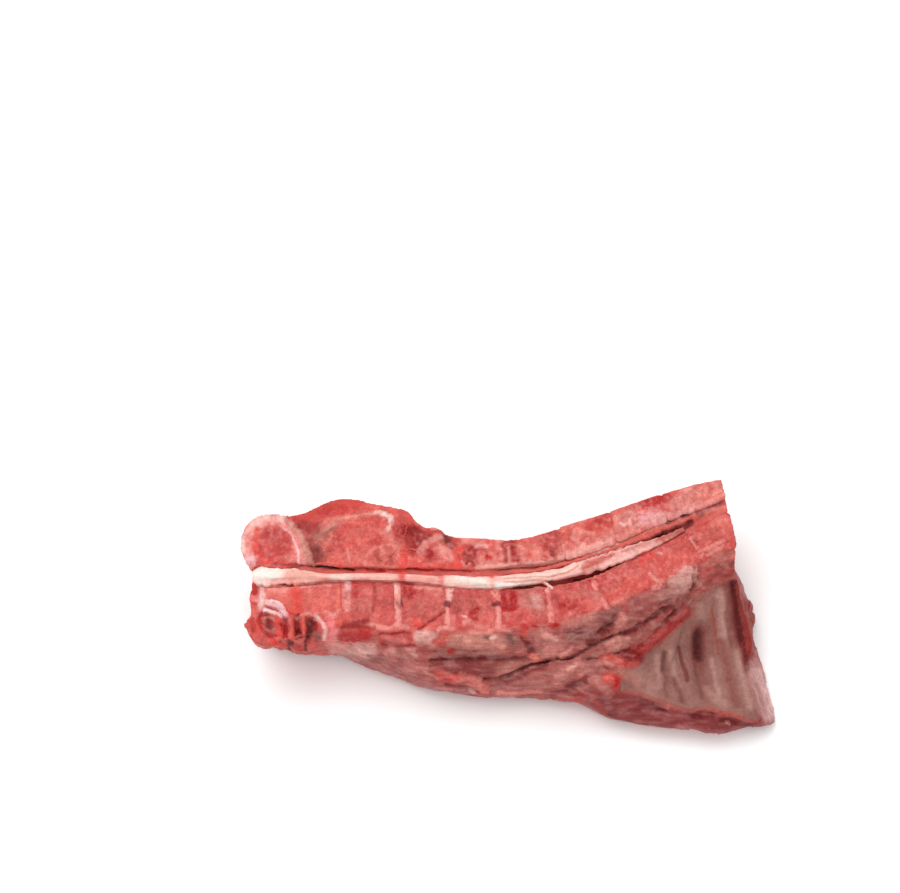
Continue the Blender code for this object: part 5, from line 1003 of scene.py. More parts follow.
class Skin:
    """The surface of a piece, with the colour, gloss, fibres and relief that strokes give its points."""

    def __init__(self, piece, ground, ragged=1.0):
        self.mesh = piece.data
        self.points = read_points(self.mesh, "co") / MM
        self.normals = read_points(self.mesh, "normal")
        count = len(self.points)
        self.colour = np.tile(np.array(ground, float), (count, 1))
        self.fibre = np.zeros(count)
        self.relief = np.zeros(count)
        self.stray = 1.3 * wander(self.points, 6) + 0.7 * ragged * wander(self.points, 2.0, 9)
        self.place = picture(self.points) + self.stray
        facing = self.normals @ -AHEAD
        end_cut = ease(self.points[:, 0], CHEST_END - 4, CHEST_END) * ease(self.normals[:, 0], 0.3, 0.6)
        self.seen = np.maximum(ease(facing, -0.1, 0.15), end_cut * ease(facing, -0.4, 0.0))
        self.patches = 1 + 0.35 * ragged * grains(self.points, 2.6, 3)
        self.rags = 1 + 0.4 * ragged * grains(self.points, 1.7, 21)

    def turn_over(self):
        """From here on, strokes lie on the side that the camera doesn't see."""
        self.place = self.points[:, :2] + np.outer(self.points[:, 2], (0, 1)) + self.stray
        self.seen = ease(self.normals @ AHEAD, 0.0, 0.3)
        self.fibre += (0.9 - self.fibre) * self.seen

    def trim_back(self):
        """Move what stands out behind the back of the chest onto its line."""
        x, y = self.points[:, 0], self.points[:, 1]
        self.points[:, 1] = np.where(x > CHEST_BACK[0][0], np.minimum(y, along(CHEST_BACK, x)), y)

    def close_back(self):
        """Fill the notches between the chest's spines."""
        x, y, z = self.points.T
        line = along(CHEST_BACK, x) - 0.3
        under_spines = (z > NOTCH_HEIGHTS[0]) & (z < NOTCH_HEIGHTS[1]) & (y > line - NOTCH_DEPTH)
        self.points[:, 1] = np.where(under_spines & (x > CHEST_BACK[0][0]) & (x < CHEST_END), line, y)

    def grow(self, by):
        """Push the sides out by an uneven amount, so that they run into what the piece lies in."""
        sides = 1 - ease(self.normals[:, 2], 0.5, 0.9)
        self.relief += by * sides * (1 + 0.5 * grains(self.points, 5, 12))

    def blend(self, chosen, cover, tone):
        """Paint a tone over chosen points, as far as it covers them."""
        cover = np.clip(cover, 0, 1)[:, None]
        self.colour[chosen] = self.colour[chosen] * (1 - cover) + linear(TONES[tone]) * cover

    def lay_area(self, area):
        """Give a broad ground its tone and fibres."""
        outline = np.array(area.points, float)
        closed = np.vstack([outline, outline[:1]])
        distance = line_distance(self.place, closed)
        signed = np.where(inside(self.place, outline), distance, -distance)
        cover = ease(signed, -area.softness, area.softness) * self.seen
        self.blend(slice(None), cover * area.strength, area.tone)
        self.fibre += (area.fibre - self.fibre) * cover

    def lay_stroke(self, stroke):
        """Paint a stroke along its points, and raise or sink the surface under it."""
        line = smooth_line(stroke.points)
        reach = stroke.width * (1 + stroke.softness)
        low, high = line.min(0) - reach, line.max(0) + reach
        near = np.flatnonzero(((self.place > low) & (self.place < high)).all(1) & (self.seen > 0))
        if not len(near):
            return
        distance = line_distance(self.place[near], line) * self.rags[near]
        cover = (1 - ease(distance, stroke.width * (1 - stroke.softness), reach)) * self.seen[near]
        self.blend(near, cover * stroke.strength * self.patches[near], stroke.tone)
        self.relief[near] += stroke.relief * cover

    def lay_flecks(self, fleck, shift):
        """Scatter spots of a tone inside an outline."""
        outline = np.array(fleck.points, float)
        distance = line_distance(self.place, np.vstack([outline, outline[:1]]))
        near = np.flatnonzero(inside(self.place, outline) & (self.seen > 0))
        if not len(near):
            return
        lumps = grains(self.points[near] * np.array([fleck.stretch, 1, 1]), fleck.size, shift)
        edge = np.quantile(lumps, 1 - fleck.amount)
        cover = ease(lumps, edge - 0.3, edge + 0.35) * ease(distance[near], 0, 5) * self.seen[near]
        self.blend(near, fleck.strength * cover, fleck.tone)

    def lay(self, areas=(), strokes=(), flecks=()):
        """Lay grounds, then strokes, then scattered spots."""
        for area in areas:
            self.lay_area(Area(*area))
        for stroke in strokes:
            self.lay_stroke(Stroke(*stroke))
        for number, fleck in enumerate(flecks):
            self.lay_flecks(Fleck(*fleck), shift=31 + 5 * number)

    def fleck(self, tone, size, strength, amount=0.2, shift=0.0):
        """Scatter spots of a tone, of that size, over about that share of the surface."""
        lumps = grains(self.points, size, shift)
        edge = np.quantile(lumps, 1 - amount)
        self.blend(slice(None), strength * ease(lumps, edge - 0.12, edge + 0.12), tone)

    def mottle(self, size, strength, shift=0.0):
        """Lighten and darken the colour in patches of that size, redder where it is darker."""
        change = strength * grains(self.points, size, shift)[:, None]
        self.colour *= 1 + change * np.array([0.6, 1.1, 1.0])

    def roughen(self, size, height, shift=0.0, keep=None):
        """Raise and lower the surface in lumps of that size."""
        lumps = height * grains(self.points, size, shift)
        self.relief += lumps if keep is None else lumps * keep

    def finish(self):
        """Move the points by their relief, and store the colour and the fibres."""
        moved = (self.points + self.normals * self.relief[:, None]) * MM
        moved[:, 2] = np.maximum(moved[:, 2], ABOVE_TABLE * MM)
        self.mesh.vertices.foreach_set("co", moved.ravel())
        count = len(moved)
        tone = self.mesh.color_attributes.new("tone", "FLOAT_COLOR", "POINT")
        rgba = np.concatenate([np.clip(self.colour, 0, 1), np.ones((count, 1))], axis=1)
        tone.data.foreach_set("color", rgba.ravel())
        fibre = self.mesh.attributes.new("fibre", "FLOAT", "POINT")
        fibre.data.foreach_set("value", np.clip(self.fibre, 0, 1))
        self.mesh.shade_smooth()
        self.mesh.update()


# ---------------------------------------------------------------- materials


def add_node(tree, kind, **inputs):
    """Add a node, set the inputs named, and link those given as another node's output."""
    made = tree.nodes.new(kind)
    for name, value in inputs.items():
        socket = made.inputs[name.replace("_", " ")]
        if isinstance(value, bpy.types.NodeSocket):
            tree.links.new(value, socket)
        else:
            socket.default_value = value
    return made


def lump_noise(tree, place, size, detail=3.0, roughness=0.55):
    """A noise texture with lumps of that size in millimetres."""
    texture = add_node(tree, "ShaderNodeTexNoise", Scale=1 / (size * MM), Detail=detail, Roughness=roughness)
    tree.links.new(place, texture.inputs["Vector"])
    return texture.outputs[0]


def ramp(tree, value, low, high, to_low, to_high):
    """Map a value from one range to another, clamped."""
    mapped = add_node(tree, "ShaderNodeMapRange", Value=value)
    mapped.inputs["From Min"].default_value = low
    mapped.inputs["From Max"].default_value = high
    mapped.inputs["To Min"].default_value = to_low
    mapped.inputs["To Max"].default_value = to_high
    return mapped.outputs["Result"]


def scaled_colour(tree, colour, factor):
    """A colour times a number from another node."""
    scale = tree.nodes.new("ShaderNodeVectorMath")
    scale.operation = "SCALE"
    tree.links.new(colour, scale.inputs[0])
    tree.links.new(factor, scale.inputs["Scale"])
    return scale.outputs["Vector"]


def sum_of(tree, first, second, weight):
    """first + second * weight."""
    node = tree.nodes.new("ShaderNodeMath")
    node.operation = "MULTIPLY_ADD"
    tree.links.new(second, node.inputs[0])
    if isinstance(weight, bpy.types.NodeSocket):
        tree.links.new(weight, node.inputs[1])
    else:
        node.inputs[1].default_value = weight
    tree.links.new(first, node.inputs[2])
    return node.outputs[0]


def raw_material(name, look, grain=1.2, grain_depth=0.5, fibre_depth=0.0):
    """Wet raw tissue: the painted tone with fine grain in its colour, gloss and bump.

    grain is the size of the finest lumps in millimetres, and grain_depth and fibre_depth say how far they
    show.
    """
    made = bpy.data.materials.new(name)
    made.use_nodes = True
    tree = made.node_tree
    shader = tree.nodes["Principled BSDF"]
    place = tree.nodes.new("ShaderNodeTexCoord").outputs["Object"]
    tone = add_node(tree, "ShaderNodeAttribute")
    tone.attribute_name = "tone"
    fibre = add_node(tree, "ShaderNodeAttribute")
    fibre.attribute_name = "fibre"

    fine = lump_noise(tree, place, grain)
    broad = lump_noise(tree, place, 4.5 * grain, detail=2.0)
    stretched = tree.nodes.new("ShaderNodeMapping")
    stretched.inputs["Rotation"].default_value = (0, 0, STRAND_TURN)
    stretched.inputs["Scale"].default_value = (STRAND_STRETCH, 1, 1)
    tree.links.new(place, stretched.inputs["Vector"])
    strands = lump_noise(tree, stretched.outputs["Vector"], STRAND_SIZE, detail=2.0)

    fine_shade = ramp(tree, fine, 0.3, 0.7, 1 - SHADES * grain_depth, 1 + SHADES * grain_depth)
    shade = sum_of(tree, fine_shade, ramp(tree, broad, 0.3, 0.7, -BROAD_SHADES, BROAD_SHADES), 1.0)
    lines = add_node(tree, "ShaderNodeMath")
    lines.operation = "MULTIPLY"
    tree.links.new(fibre.outputs["Fac"], lines.inputs[0])
    tree.links.new(ramp(tree, strands, 0.35, 0.65, -STRAND_SHADES, STRAND_SHADES), lines.inputs[1])
    shade = sum_of(tree, shade, lines.outputs[0], 1.0)
    specks = tree.nodes.new("ShaderNodeVectorMath")
    specks.operation = "MULTIPLY_ADD"
    specks.inputs[1].default_value = SPECK_COLOUR
    speck_lumps = lump_noise(tree, place, 0.6 * grain)
    tree.links.new(ramp(tree, speck_lumps, 0.5, 0.72, 0.0, SPECKS * grain_depth), specks.inputs[0])
    tree.links.new(scaled_colour(tree, tone.outputs["Color"], shade), specks.inputs[2])
    tree.links.new(specks.outputs["Vector"], shader.inputs["Base Color"])

    gloss = ramp(tree, broad, 0.35, 0.65, look.roughness - GLOSS_CHANGE, look.roughness + GLOSS_CHANGE)
    tree.links.new(gloss, shader.inputs["Roughness"])
    height = sum_of(tree, fine, broad, 0.6)
    if fibre_depth:
        height = sum_of(tree, height, lines.outputs[0], 6 * fibre_depth)
    bump_height = BUMP_HEIGHT * grain_depth * MM
    bump = add_node(tree, "ShaderNodeBump", Strength=BUMP_STRENGTH, Distance=bump_height, Height=height)
    tree.links.new(bump.outputs["Normal"], shader.inputs["Normal"])
    shader.inputs["Coat Weight"].default_value = look.wetness
    shader.inputs["Coat Roughness"].default_value = COAT_ROUGHNESS
    shader.inputs["Specular IOR Level"].default_value = REFLECTION
    shader.inputs["Subsurface Weight"].default_value = look.translucency
    shader.inputs["Subsurface Radius"].default_value = SCATTER_COLOURS
    shader.inputs["Subsurface Scale"].default_value = SCATTER_LENGTH * MM
    return made


# ---------------------------------------------------------------- making pieces


def nodes_like(*marks):
    """The names of the solids that hold one of the marks."""
    return sorted(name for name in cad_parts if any(mark in name for mark in marks))


def merged_copy(name, *nodes):
    """A copy of one or more solids' meshes with their loose triangles joined up."""
    mesh = bpy.data.meshes.new(name)
    editor = bmesh.new()
    for node in nodes:
        editor.from_mesh(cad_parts[node].data)
    bmesh.ops.remove_doubles(editor, verts=editor.verts, dist=0.01 * MM)
    editor.to_mesh(mesh)
    editor.free()
    piece = bpy.data.objects.new(name, mesh)
    bpy.context.scene.collection.objects.link(piece)
    return piece


def applied(piece):
    """Replace a piece's mesh by the one its modifiers give."""
    graph = bpy.context.evaluated_depsgraph_get()
    mesh = bpy.data.meshes.new_from_object(piece.evaluated_get(graph))
    old = piece.data
    piece.modifiers.clear()
    piece.data = mesh
    mesh.name = piece.name
    bpy.data.meshes.remove(old)
    return piece


def fine_copy(name, grain, *nodes):
    """One or more solids as a single even mesh, with points that far apart, in metres."""
    piece = merged_copy(name, *nodes)
    even = piece.modifiers.new("Even", "REMESH")
    even.mode = "VOXEL"
    even.voxel_size = grain
    return applied(piece)


def dress(piece, material, slot_name, *nodes):
    """Give a finished piece its material, hang it under the root body and hide the solids that it stands
    for.
    """
    piece.data.materials.clear()
    piece.data.materials.append(material)
    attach(piece, "root")
    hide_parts(*nodes)


# ---------------------------------------------------------------- settings


class FleshSettings(bpy.types.PropertyGroup):
    """How the flesh is made and how it looks"""

    grain: FloatProperty(
        name="Grain", description="Spacing of the flesh's points",
        default=0.8 * MM, min=0, precision=5, unit="LENGTH")
    unevenness: FloatProperty(
        name="Unevenness", description="Height of the flesh's lumps",
        default=0.55 * MM, min=0, precision=5, unit="LENGTH")
    ground: FloatVectorProperty(
        name="Ground", description="Colour of bare meat",
        default=linear(TONES["meat"]), min=0, max=1, subtype="COLOR")
    roughness: FloatProperty(
        name="Roughness", description="How dull the meat is",
        default=0.42, min=0, max=1, subtype="FACTOR")
    wetness: FloatProperty(
        name="Wetness", description="Strength of the wet film",
        default=0.06, min=0, max=1, subtype="FACTOR")
    translucency: FloatProperty(
        name="Translucency", description="How far light enters the meat",
        default=0.18, min=0, max=1, subtype="FACTOR")


class BoneSettings(bpy.types.PropertyGroup):
    """How the sawn bones are made and how they look"""

    grain: FloatProperty(
        name="Grain", description="Spacing of the bones' points",
        default=0.5 * MM, min=0, precision=5, unit="LENGTH")
    swell: FloatProperty(
        name="Swell", description="How far a bone grows into its bed",
        default=0.5 * MM, min=0, precision=5, unit="LENGTH")
    proud: FloatProperty(
        name="Proud", description="How far a bone stands out of the flesh",
        default=0.22 * MM, min=0, precision=5, unit="LENGTH")
    marrow: FloatVectorProperty(
        name="Marrow", description="Colour of red marrow",
        default=linear(TONES["marrow"]), min=0, max=1, subtype="COLOR")
    pale_marrow: FloatVectorProperty(
        name="Pale marrow", description="Colour of the marrow in the head's bones and the thin spines",
        default=linear(TONES["salmon"]), min=0, max=1, subtype="COLOR")
    roughness: FloatProperty(
        name="Roughness", description="How dull sawn bone is",
        default=0.48, min=0, max=1, subtype="FACTOR")
    wetness: FloatProperty(
        name="Wetness", description="Strength of the wet film",
        default=0.06, min=0, max=1, subtype="FACTOR")
    translucency: FloatProperty(
        name="Translucency", description="How far light enters the marrow",
        default=0.12, min=0, max=1, subtype="FACTOR")


class GristleSettings(bpy.types.PropertyGroup):
    """How the discs are made and how they look"""

    grain: FloatProperty(
        name="Grain", description="Spacing of the discs' points",
        default=0.4 * MM, min=0, precision=5, unit="LENGTH")
    swell: FloatProperty(
        name="Swell", description="How far a disc grows into its bed",
        default=0.2 * MM, min=0, precision=5, unit="LENGTH")
    proud: FloatProperty(
        name="Proud", description="How far a disc stands out of the flesh",
        default=0.3 * MM, min=0, precision=5, unit="LENGTH")
    ground: FloatVectorProperty(
        name="Ground", description="Colour of the discs' gristle",
        default=linear(TONES["marrow"]), min=0, max=1, subtype="COLOR")
    roughness: FloatProperty(
        name="Roughness", description="How dull gristle is",
        default=0.38, min=0, max=1, subtype="FACTOR")
    wetness: FloatProperty(
        name="Wetness", description="Strength of the wet film",
        default=0.1, min=0, max=1, subtype="FACTOR")
    translucency: FloatProperty(
        name="Translucency", description="How far light enters gristle",
        default=0.25, min=0, max=1, subtype="FACTOR")


class CordSettings(bpy.types.PropertyGroup):
    """How the spinal cord is made and how it looks"""

    grain: FloatProperty(
        name="Grain", description="Spacing of the cord's points",
        default=0.4 * MM, min=0, precision=5, unit="LENGTH")
    spread: FloatProperty(
        name="Spread", description="How far the cord slumps sideways",
        default=0.6 * MM, min=0, precision=5, unit="LENGTH")
    waist: FloatProperty(
        name="Waist", description="How much narrower it is behind its cut end",
        default=1.2 * MM, min=0, precision=5, unit="LENGTH")
    head_spread: FloatProperty(
        name="Head spread", description="How much further it slumps at its cut end",
        default=1.6 * MM, min=0, precision=5, unit="LENGTH")
    head_shift: FloatProperty(
        name="Head shift", description="How far its cut end lies to the back",
        default=1.8 * MM, min=0, precision=5, unit="LENGTH")
    torn_spread: FloatProperty(
        name="Torn spread", description="How much further its torn sheath slumps",
        default=1.5 * MM, min=0, precision=5, unit="LENGTH")
    torn_shift: FloatProperty(
        name="Torn shift", description="How far its torn sheath lies to the back",
        default=2.4 * MM, min=0, precision=5, unit="LENGTH")
    ground: FloatVectorProperty(
        name="Ground", description="Colour of the sheath",
        default=linear(TONES["rim"]), min=0, max=1, subtype="COLOR")
    roughness: FloatProperty(
        name="Roughness", description="How dull the cord is",
        default=0.36, min=0, max=1, subtype="FACTOR")
    wetness: FloatProperty(
        name="Wetness", description="Strength of the wet film",
        default=0.12, min=0, max=1, subtype="FACTOR")
    translucency: FloatProperty(
        name="Translucency", description="How far light enters the cord",
        default=0.3, min=0, max=1, subtype="FACTOR")


class LiningSettings(bpy.types.PropertyGroup):
    """How the chest's lining is made and how it looks"""

    grain: FloatProperty(
        name="Grain", description="Spacing of the lining's points",
        default=0.7 * MM, min=0, precision=5, unit="LENGTH")
    thickness: FloatProperty(
        name="Thickness", description="Thickness of the sheet",
        default=0.9 * MM, min=0, precision=5, unit="LENGTH")
    proud: FloatProperty(
        name="Proud", description="How far it stands out of the wall",
        default=0.3 * MM, min=0, precision=5, unit="LENGTH")
    ground: FloatVectorProperty(
        name="Ground", description="Colour of the lining",
        default=linear(TONES["pleura"]), min=0, max=1, subtype="COLOR")
    roughness: FloatProperty(
        name="Roughness", description="How dull the lining is",
        default=0.36, min=0, max=1, subtype="FACTOR")
    wetness: FloatProperty(
        name="Wetness", description="Strength of the wet film",
        default=0.06, min=0, max=1, subtype="FACTOR")
    translucency: FloatProperty(
        name="Translucency", description="How far light enters the lining",
        default=0.15, min=0, max=1, subtype="FACTOR")


class StageSettings(bpy.types.PropertyGroup):
    """The floor and the light"""

    floor: FloatProperty(
        name="Floor", description="Length of a side of the floor", default=6.0, unit="LENGTH")
    floor_colour: FloatVectorProperty(
        name="Floor colour", description="Colour of the floor",
        default=(0.97, 0.97, 0.97), min=0, max=1, subtype="COLOR")
    sky: FloatProperty(
        name="Sky", description="Brightness of the light from all round", default=1.0, min=0)
    softbox: FloatProperty(
        name="Softbox", description="Power of the lamp", default=10.0, min=0, unit="POWER")


# ---------------------------------------------------------------- operators

PALE_BONES = {"axis_body", "axis_spine", "c3_arch", "t1_spine", "t2_spine", "t3_spine"}
SAWN_STROKES = (
    ATLAS_STROKES + AXIS_STROKES + ARCH_STROKES + SPINE_STROKES
    + HEAD_BODY_STROKES + NECK_BODY_STROKES + CHEST_BODY_STROKES
)
ALL_STROKES = SAWN_STROKES + CANAL_STROKES + FLANK_STROKES + RIDGE_STROKES + CHEST_STROKES


def thin_underside(piece):
    """Give what faces the table fewer points, since little shows there."""
    normals = read_points(piece.data, "normal")
    group = piece.vertex_groups.new(name="underside")
    group.add([int(i) for i in np.flatnonzero(normals[:, 2] < -0.2)], 1.0, "REPLACE")
    thin = piece.modifiers.new("Thin", "DECIMATE")
    thin.vertex_group = group.name
    thin.ratio = THIN_RATIO
    applied(piece)
    piece.vertex_groups.clear()


def square_end(piece):
    """Stretch the top of the cut behind the third rib out to the outline that the camera sees of it."""
    mesh = piece.data
    points = read_points(mesh, "co") / MM
    across, down = picture(points).T
    rows = np.array(END_EDGE, float)
    edge = np.interp(down, rows[:, 0], rows[:, 1])
    gap = np.interp(down, rows[:, 0], rows[:, 2])
    share = (across - edge + END_REACH) / (END_REACH - gap)
    wanted = edge - END_REACH + END_REACH * np.minimum(share, 1)
    shift = np.where(share > 0, wanted - across, 0) * between(down, *END_PLACE)
    points[:, 0] += shift * CAMERA_DISTANCE / FOCAL
    mesh.vertices.foreach_set("co", (points * MM).ravel())
    mesh.update()


def keep_under(piece, outline):
    """Cut an open sheet out of a skin: what the camera sees inside an outline."""
    points = read_points(piece.data, "co") / MM
    normals = read_points(piece.data, "normal")
    kept = inside(picture(points), np.array(outline, float)) & (normals @ -AHEAD > 0.2)
    editor = bmesh.new()
    editor.from_mesh(piece.data)
    editor.verts.ensure_lookup_table()
    bmesh.ops.delete(editor, geom=[editor.verts[int(i)] for i in np.flatnonzero(~kept)], context="VERTS")
    editor.to_mesh(piece.data)
    editor.free()


def line_canal(skin):
    """Raise the floor of the spinal canal, which a membrane lines up to the cord's sides.

    Towards the chest a ligament fills its roof side, and a gap is left on its floor side.
    """
    x, y, z = skin.points.T
    side = (y - along(CANAL_MIDDLE, x)) / CANAL_REACH
    chest = ease(x, 15, 45)
    ligament = ease(side, 0.0, 0.5) * chest
    gap = (1 - ease(side, -0.6, -0.1)) * chest
    bed = SAWN_HEIGHT - CANAL_BED + 0.5 * grains(skin.points, 6, 14)
    bed += LIGAMENT_HEIGHT * ligament + FLOOR_SIDE_HEIGHT * gap
    inside_canal = (np.abs(side) < 1) & (z < bed) & (z > SAWN_HEIGHT - CANAL_DEPTH)
    skin.points[:, 2] = np.where(inside_canal & (skin.normals[:, 2] > 0.1), bed, z)


class NECK_OT_flesh(bpy.types.Operator):
    """Model the meat, fat and membranes as one uneven skin"""

    bl_idname = "neck.flesh"
    bl_label = "Flesh"

    def execute(self, context):
        look = context.scene.neck_flesh
        piece = fine_copy("raw_flesh", look.grain, *sorted(set(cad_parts) - {"spinal_cord"}))
        thin_underside(piece)
        square_end(piece)
        skin = Skin(piece, look.ground)
        skin.trim_back()
        skin.close_back()
        line_canal(skin)
        level = ease(skin.normals[:, 2], 0.8, 0.95)
        sawn = level * ease(skin.points[:, 2], SAWN_HEIGHT - 2, SAWN_HEIGHT - 0.5)
        soft = 1 - 0.6 * sawn
        height = look.unevenness / MM
        skin.roughen(size=9, height=height, shift=1, keep=soft)
        skin.roughen(size=3.5, height=0.5 * height, shift=2, keep=soft)
        skin.roughen(size=1.4, height=0.25 * height, shift=3)
        skin.fleck("meat_dark", size=7, strength=0.3, amount=0.25, shift=6)
        skin.lay(AREAS, ALL_STROKES, FLECKS)
        skin.turn_over()
        skin.lay(strokes=OUTER_STROKES, flecks=OUTER_FLECKS)
        skin.mottle(size=5, strength=0.28, shift=4)
        skin.mottle(size=1.8, strength=0.14, shift=5)
        skin.finish()
        dress(piece, raw_material("raw_meat", look, grain=1.0, fibre_depth=0.6), "flesh", "flesh")
        return {"FINISHED"}


class NECK_OT_bones(bpy.types.Operator):
    """Model the sawn vertebrae, each with spongy marrow inside a pale rim"""

    bl_idname = "neck.bones"
    bl_label = "Bones"

    def execute(self, context):
        look = context.scene.neck_bones
        material = raw_material("sawn_marrow", look, grain=0.9, grain_depth=0.6)
        for node in nodes_like("_body", "_arch", "_spine"):
            piece = fine_copy("raw_" + node, look.grain, node)
            skin = Skin(piece, look.pale_marrow if node in PALE_BONES else look.marrow)
            skin.trim_back()
            skin.grow(look.swell / MM)
            skin.relief += look.proud / MM
            skin.roughen(size=4, height=0.22, shift=1)
            skin.roughen(size=1.4, height=0.1, shift=2)
            if node == "atlas_body":  # the saw tore it
                skin.roughen(size=6, height=1.6, shift=3)
            skin.fleck("meat_red", size=7, strength=0.5, amount=0.3, shift=6)
            skin.fleck("salmon_pale", size=6, strength=0.35, amount=0.25, shift=7)
            skin.lay(strokes=SAWN_STROKES, flecks=FLECKS)
            skin.mottle(size=3.2, strength=0.3, shift=4)
            skin.mottle(size=1.2, strength=0.16, shift=5)
            skin.finish()
            dress(piece, material, "sawn_bone", node)
        return {"FINISHED"}


class NECK_OT_discs(bpy.types.Operator):
    """Model the gristly discs between the vertebrae"""

    bl_idname = "neck.discs"
    bl_label = "Discs"

    def execute(self, context):
        look = context.scene.neck_discs
        material = raw_material("disc_gristle", look, grain=0.8, grain_depth=0.5)
        for node in nodes_like("disc_"):
            piece = fine_copy("raw_" + node, look.grain, node)
            skin = Skin(piece, look.ground)
            skin.grow(look.swell / MM)
            skin.relief += look.proud / MM
            skin.roughen(size=2.5, height=0.15, shift=1)
            skin.fleck("salmon_pale", size=3, strength=0.7, amount=0.5, shift=6)
            skin.lay(strokes=SAWN_STROKES)
            skin.mottle(size=2, strength=0.12, shift=4)
            skin.finish()
            dress(piece, material, "disc", node)
        return {"FINISHED"}


class NECK_OT_cord(bpy.types.Operator):
    """Model the spinal cord in its sheath"""

    bl_idname = "neck.cord"
    bl_label = "Spinal cord"

    def execute(self, context):
        look = context.scene.neck_cord
        piece = fine_copy("raw_spinal_cord", look.grain, "spinal_cord")
        skin = Skin(piece, look.ground)
        rings = grains(skin.points * np.array([0.12, 1, 1]), 1.3, 2)
        x = skin.points[:, 0]
        beside = 1 - ease(np.abs(skin.normals[:, 2]), 0.2, 0.9)
        sides = beside * (1 - ease(np.abs(skin.normals[:, 0]), 0.3, 0.8))
        head = 1 - ease(x, HEAD_END, HEAD_END + CORD_TAPER)
        torn = between(x, *CORD_TORN)
        spread = look.spread + look.head_spread * head + look.torn_spread * torn
        spread -= look.waist * between(x, *CORD_WAIST)
        uneven = 1 + 0.6 * grains(skin.points, 3, 4)
        skin.relief += sides * spread / MM * uneven * ease(x, CORD_END - 1, CORD_END + 4)
        skin.relief += 0.3 * rings
        skin.points[:, 0] = np.maximum(x, CORD_END + 0.25 * (x - CORD_END))
        skin.points[:, 1] += (look.head_shift * head + look.torn_shift * torn) / MM
        skin.lay(strokes=CORD_STROKES)
        skin.colour *= 1 + 0.08 * rings[:, None]
        skin.finish()
        material = raw_material("cord_sheath", look, grain=0.9, grain_depth=0.35)
        dress(piece, material, "spinal_cord", "spinal_cord")
        return {"FINISHED"}


class NECK_OT_lining(bpy.types.Operator):
    """Model the lining of the chest, one moist sheet that follows the ribs under it"""

    bl_idname = "neck.lining"
    bl_label = "Chest lining"

    def execute(self, context):
        look = context.scene.neck_lining
        ribs = nodes_like("rib_")
        piece = fine_copy("raw_chest_lining", look.grain, "flesh", *ribs)
        smooth = piece.modifiers.new("Smooth", "SMOOTH")
        smooth.factor = 0.5
        smooth.iterations = 12
        applied(piece)
        square_end(piece)
        keep_under(piece, LINING_OUTLINE)
        skin = Skin(piece, look.ground, ragged=0.2)
        skin.relief += look.proud / MM
        skin.roughen(size=9, height=0.35, shift=1)
        skin.roughen(size=3.5, height=0.15, shift=2)
        skin.lay(AREAS, FLANK_STROKES + RIDGE_STROKES + CHEST_STROKES)
        skin.mottle(size=6, strength=0.12, shift=4)
        skin.mottle(size=2.4, strength=0.1, shift=5)
        skin.finish()
        wall = piece.modifiers.new("Wall", "SOLIDIFY")
        wall.thickness = look.thickness
        wall.offset = -1
        dress(piece, raw_material("chest_lining", look, grain=1.6, grain_depth=0.4), "rib_bone", *ribs)
        return {"FINISHED"}


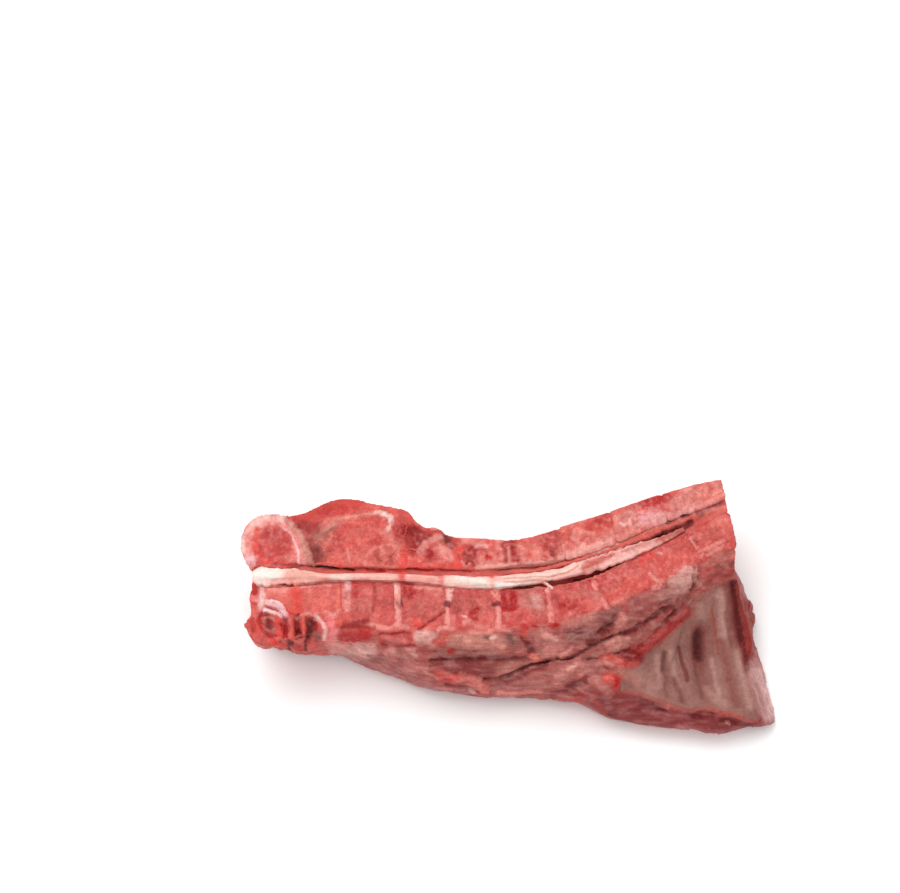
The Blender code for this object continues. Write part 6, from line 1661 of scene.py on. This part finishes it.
class NECK_OT_stage(bpy.types.Operator):
    """Set the pale floor, the soft light and the camera"""

    bl_idname = "neck.stage"
    bl_label = "Stage"

    def execute(self, context):
        look = context.scene.neck_stage
        mesh = bpy.data.meshes.new("floor")
        editor = bmesh.new()
        bmesh.ops.create_grid(editor, x_segments=1, y_segments=1, size=look.floor / 2)
        editor.to_mesh(mesh)
        editor.free()
        floor = bpy.data.objects.new("floor", mesh)
        context.scene.collection.objects.link(floor)
        paint = bpy.data.materials.new("pale_floor")
        paint.use_nodes = True
        shader = paint.node_tree.nodes["Principled BSDF"]
        shader.inputs["Base Color"].default_value = (*look.floor_colour, 1)
        shader.inputs["Roughness"].default_value = 0.9
        shader.inputs["Specular IOR Level"].default_value = 0.0
        mesh.materials.append(paint)

        world = bpy.data.worlds.new("studio")
        world.use_nodes = True
        sky = world.node_tree.nodes["Background"]
        sky.inputs["Color"].default_value = (1, 1, 1, 1)
        sky.inputs["Strength"].default_value = look.sky
        context.scene.world = world
        context.scene.view_settings.view_transform = "Standard"

        lamp = bpy.data.lights.new("softbox", "AREA")
        lamp.shape = "RECTANGLE"
        lamp.size, lamp.size_y = SOFTBOX_SIZE
        lamp.energy = look.softbox
        softbox = bpy.data.objects.new("softbox", lamp)
        softbox.location = SOFTBOX_PLACE
        softbox.rotation_euler = softbox.location.to_track_quat("Z", "Y").to_euler()
        context.scene.collection.objects.link(softbox)

        lens = bpy.data.cameras.new("camera")
        lens.lens = LENS
        lens.sensor_width = SENSOR
        lens.sensor_fit = "HORIZONTAL"
        lens.clip_end = 20
        camera = bpy.data.objects.new("camera", lens)
        camera.matrix_world = Matrix.Translation(Vector(EYE * MM)) @ Matrix(
            np.array([RIGHT, UP, -AHEAD]).T.tolist()).to_4x4()
        context.scene.collection.objects.link(camera)
        context.scene.camera = camera
        return {"FINISHED"}


class NECK_PT_panel(bpy.types.Panel):
    """The neck's pieces and their settings"""

    bl_label = "Neck bones"
    bl_space_type = "VIEW_3D"
    bl_region_type = "UI"
    bl_category = "Neck bones"

    def draw(self, context):
        for operator, settings in STEPS:
            box = self.layout.box()
            box.operator(operator.bl_idname)
            group = getattr(context.scene, settings)
            for name in group.bl_rna.properties.keys():
                if name not in ("rna_type", "name"):
                    box.prop(group, name)


STEPS = [
    (NECK_OT_stage, "neck_stage"), (NECK_OT_flesh, "neck_flesh"), (NECK_OT_bones, "neck_bones"),
    (NECK_OT_discs, "neck_discs"), (NECK_OT_cord, "neck_cord"), (NECK_OT_lining, "neck_lining"),
]
SETTINGS = {
    "neck_stage": StageSettings, "neck_flesh": FleshSettings, "neck_bones": BoneSettings,
    "neck_discs": GristleSettings, "neck_cord": CordSettings, "neck_lining": LiningSettings,
}


def register():
    """Register the settings, the operators and the panel."""
    for name, group in SETTINGS.items():
        bpy.utils.register_class(group)
        setattr(bpy.types.Scene, name, PointerProperty(type=group))
    for operator, _ in STEPS:
        bpy.utils.register_class(operator)
    bpy.utils.register_class(NECK_PT_panel)


def unregister():
    """Take back what register did, in reverse order."""
    bpy.utils.unregister_class(NECK_PT_panel)
    for operator, _ in reversed(STEPS):
        bpy.utils.unregister_class(operator)
    for name, group in reversed(SETTINGS.items()):
        delattr(bpy.types.Scene, name)
        bpy.utils.unregister_class(group)


def main():
    noise.seed_set(NOISE_SEED)
    register()
    bpy.ops.neck.stage()
    bpy.ops.neck.flesh()
    bpy.ops.neck.bones()
    bpy.ops.neck.discs()
    bpy.ops.neck.cord()
    bpy.ops.neck.lining()


if __name__ == "__main__":
    main()
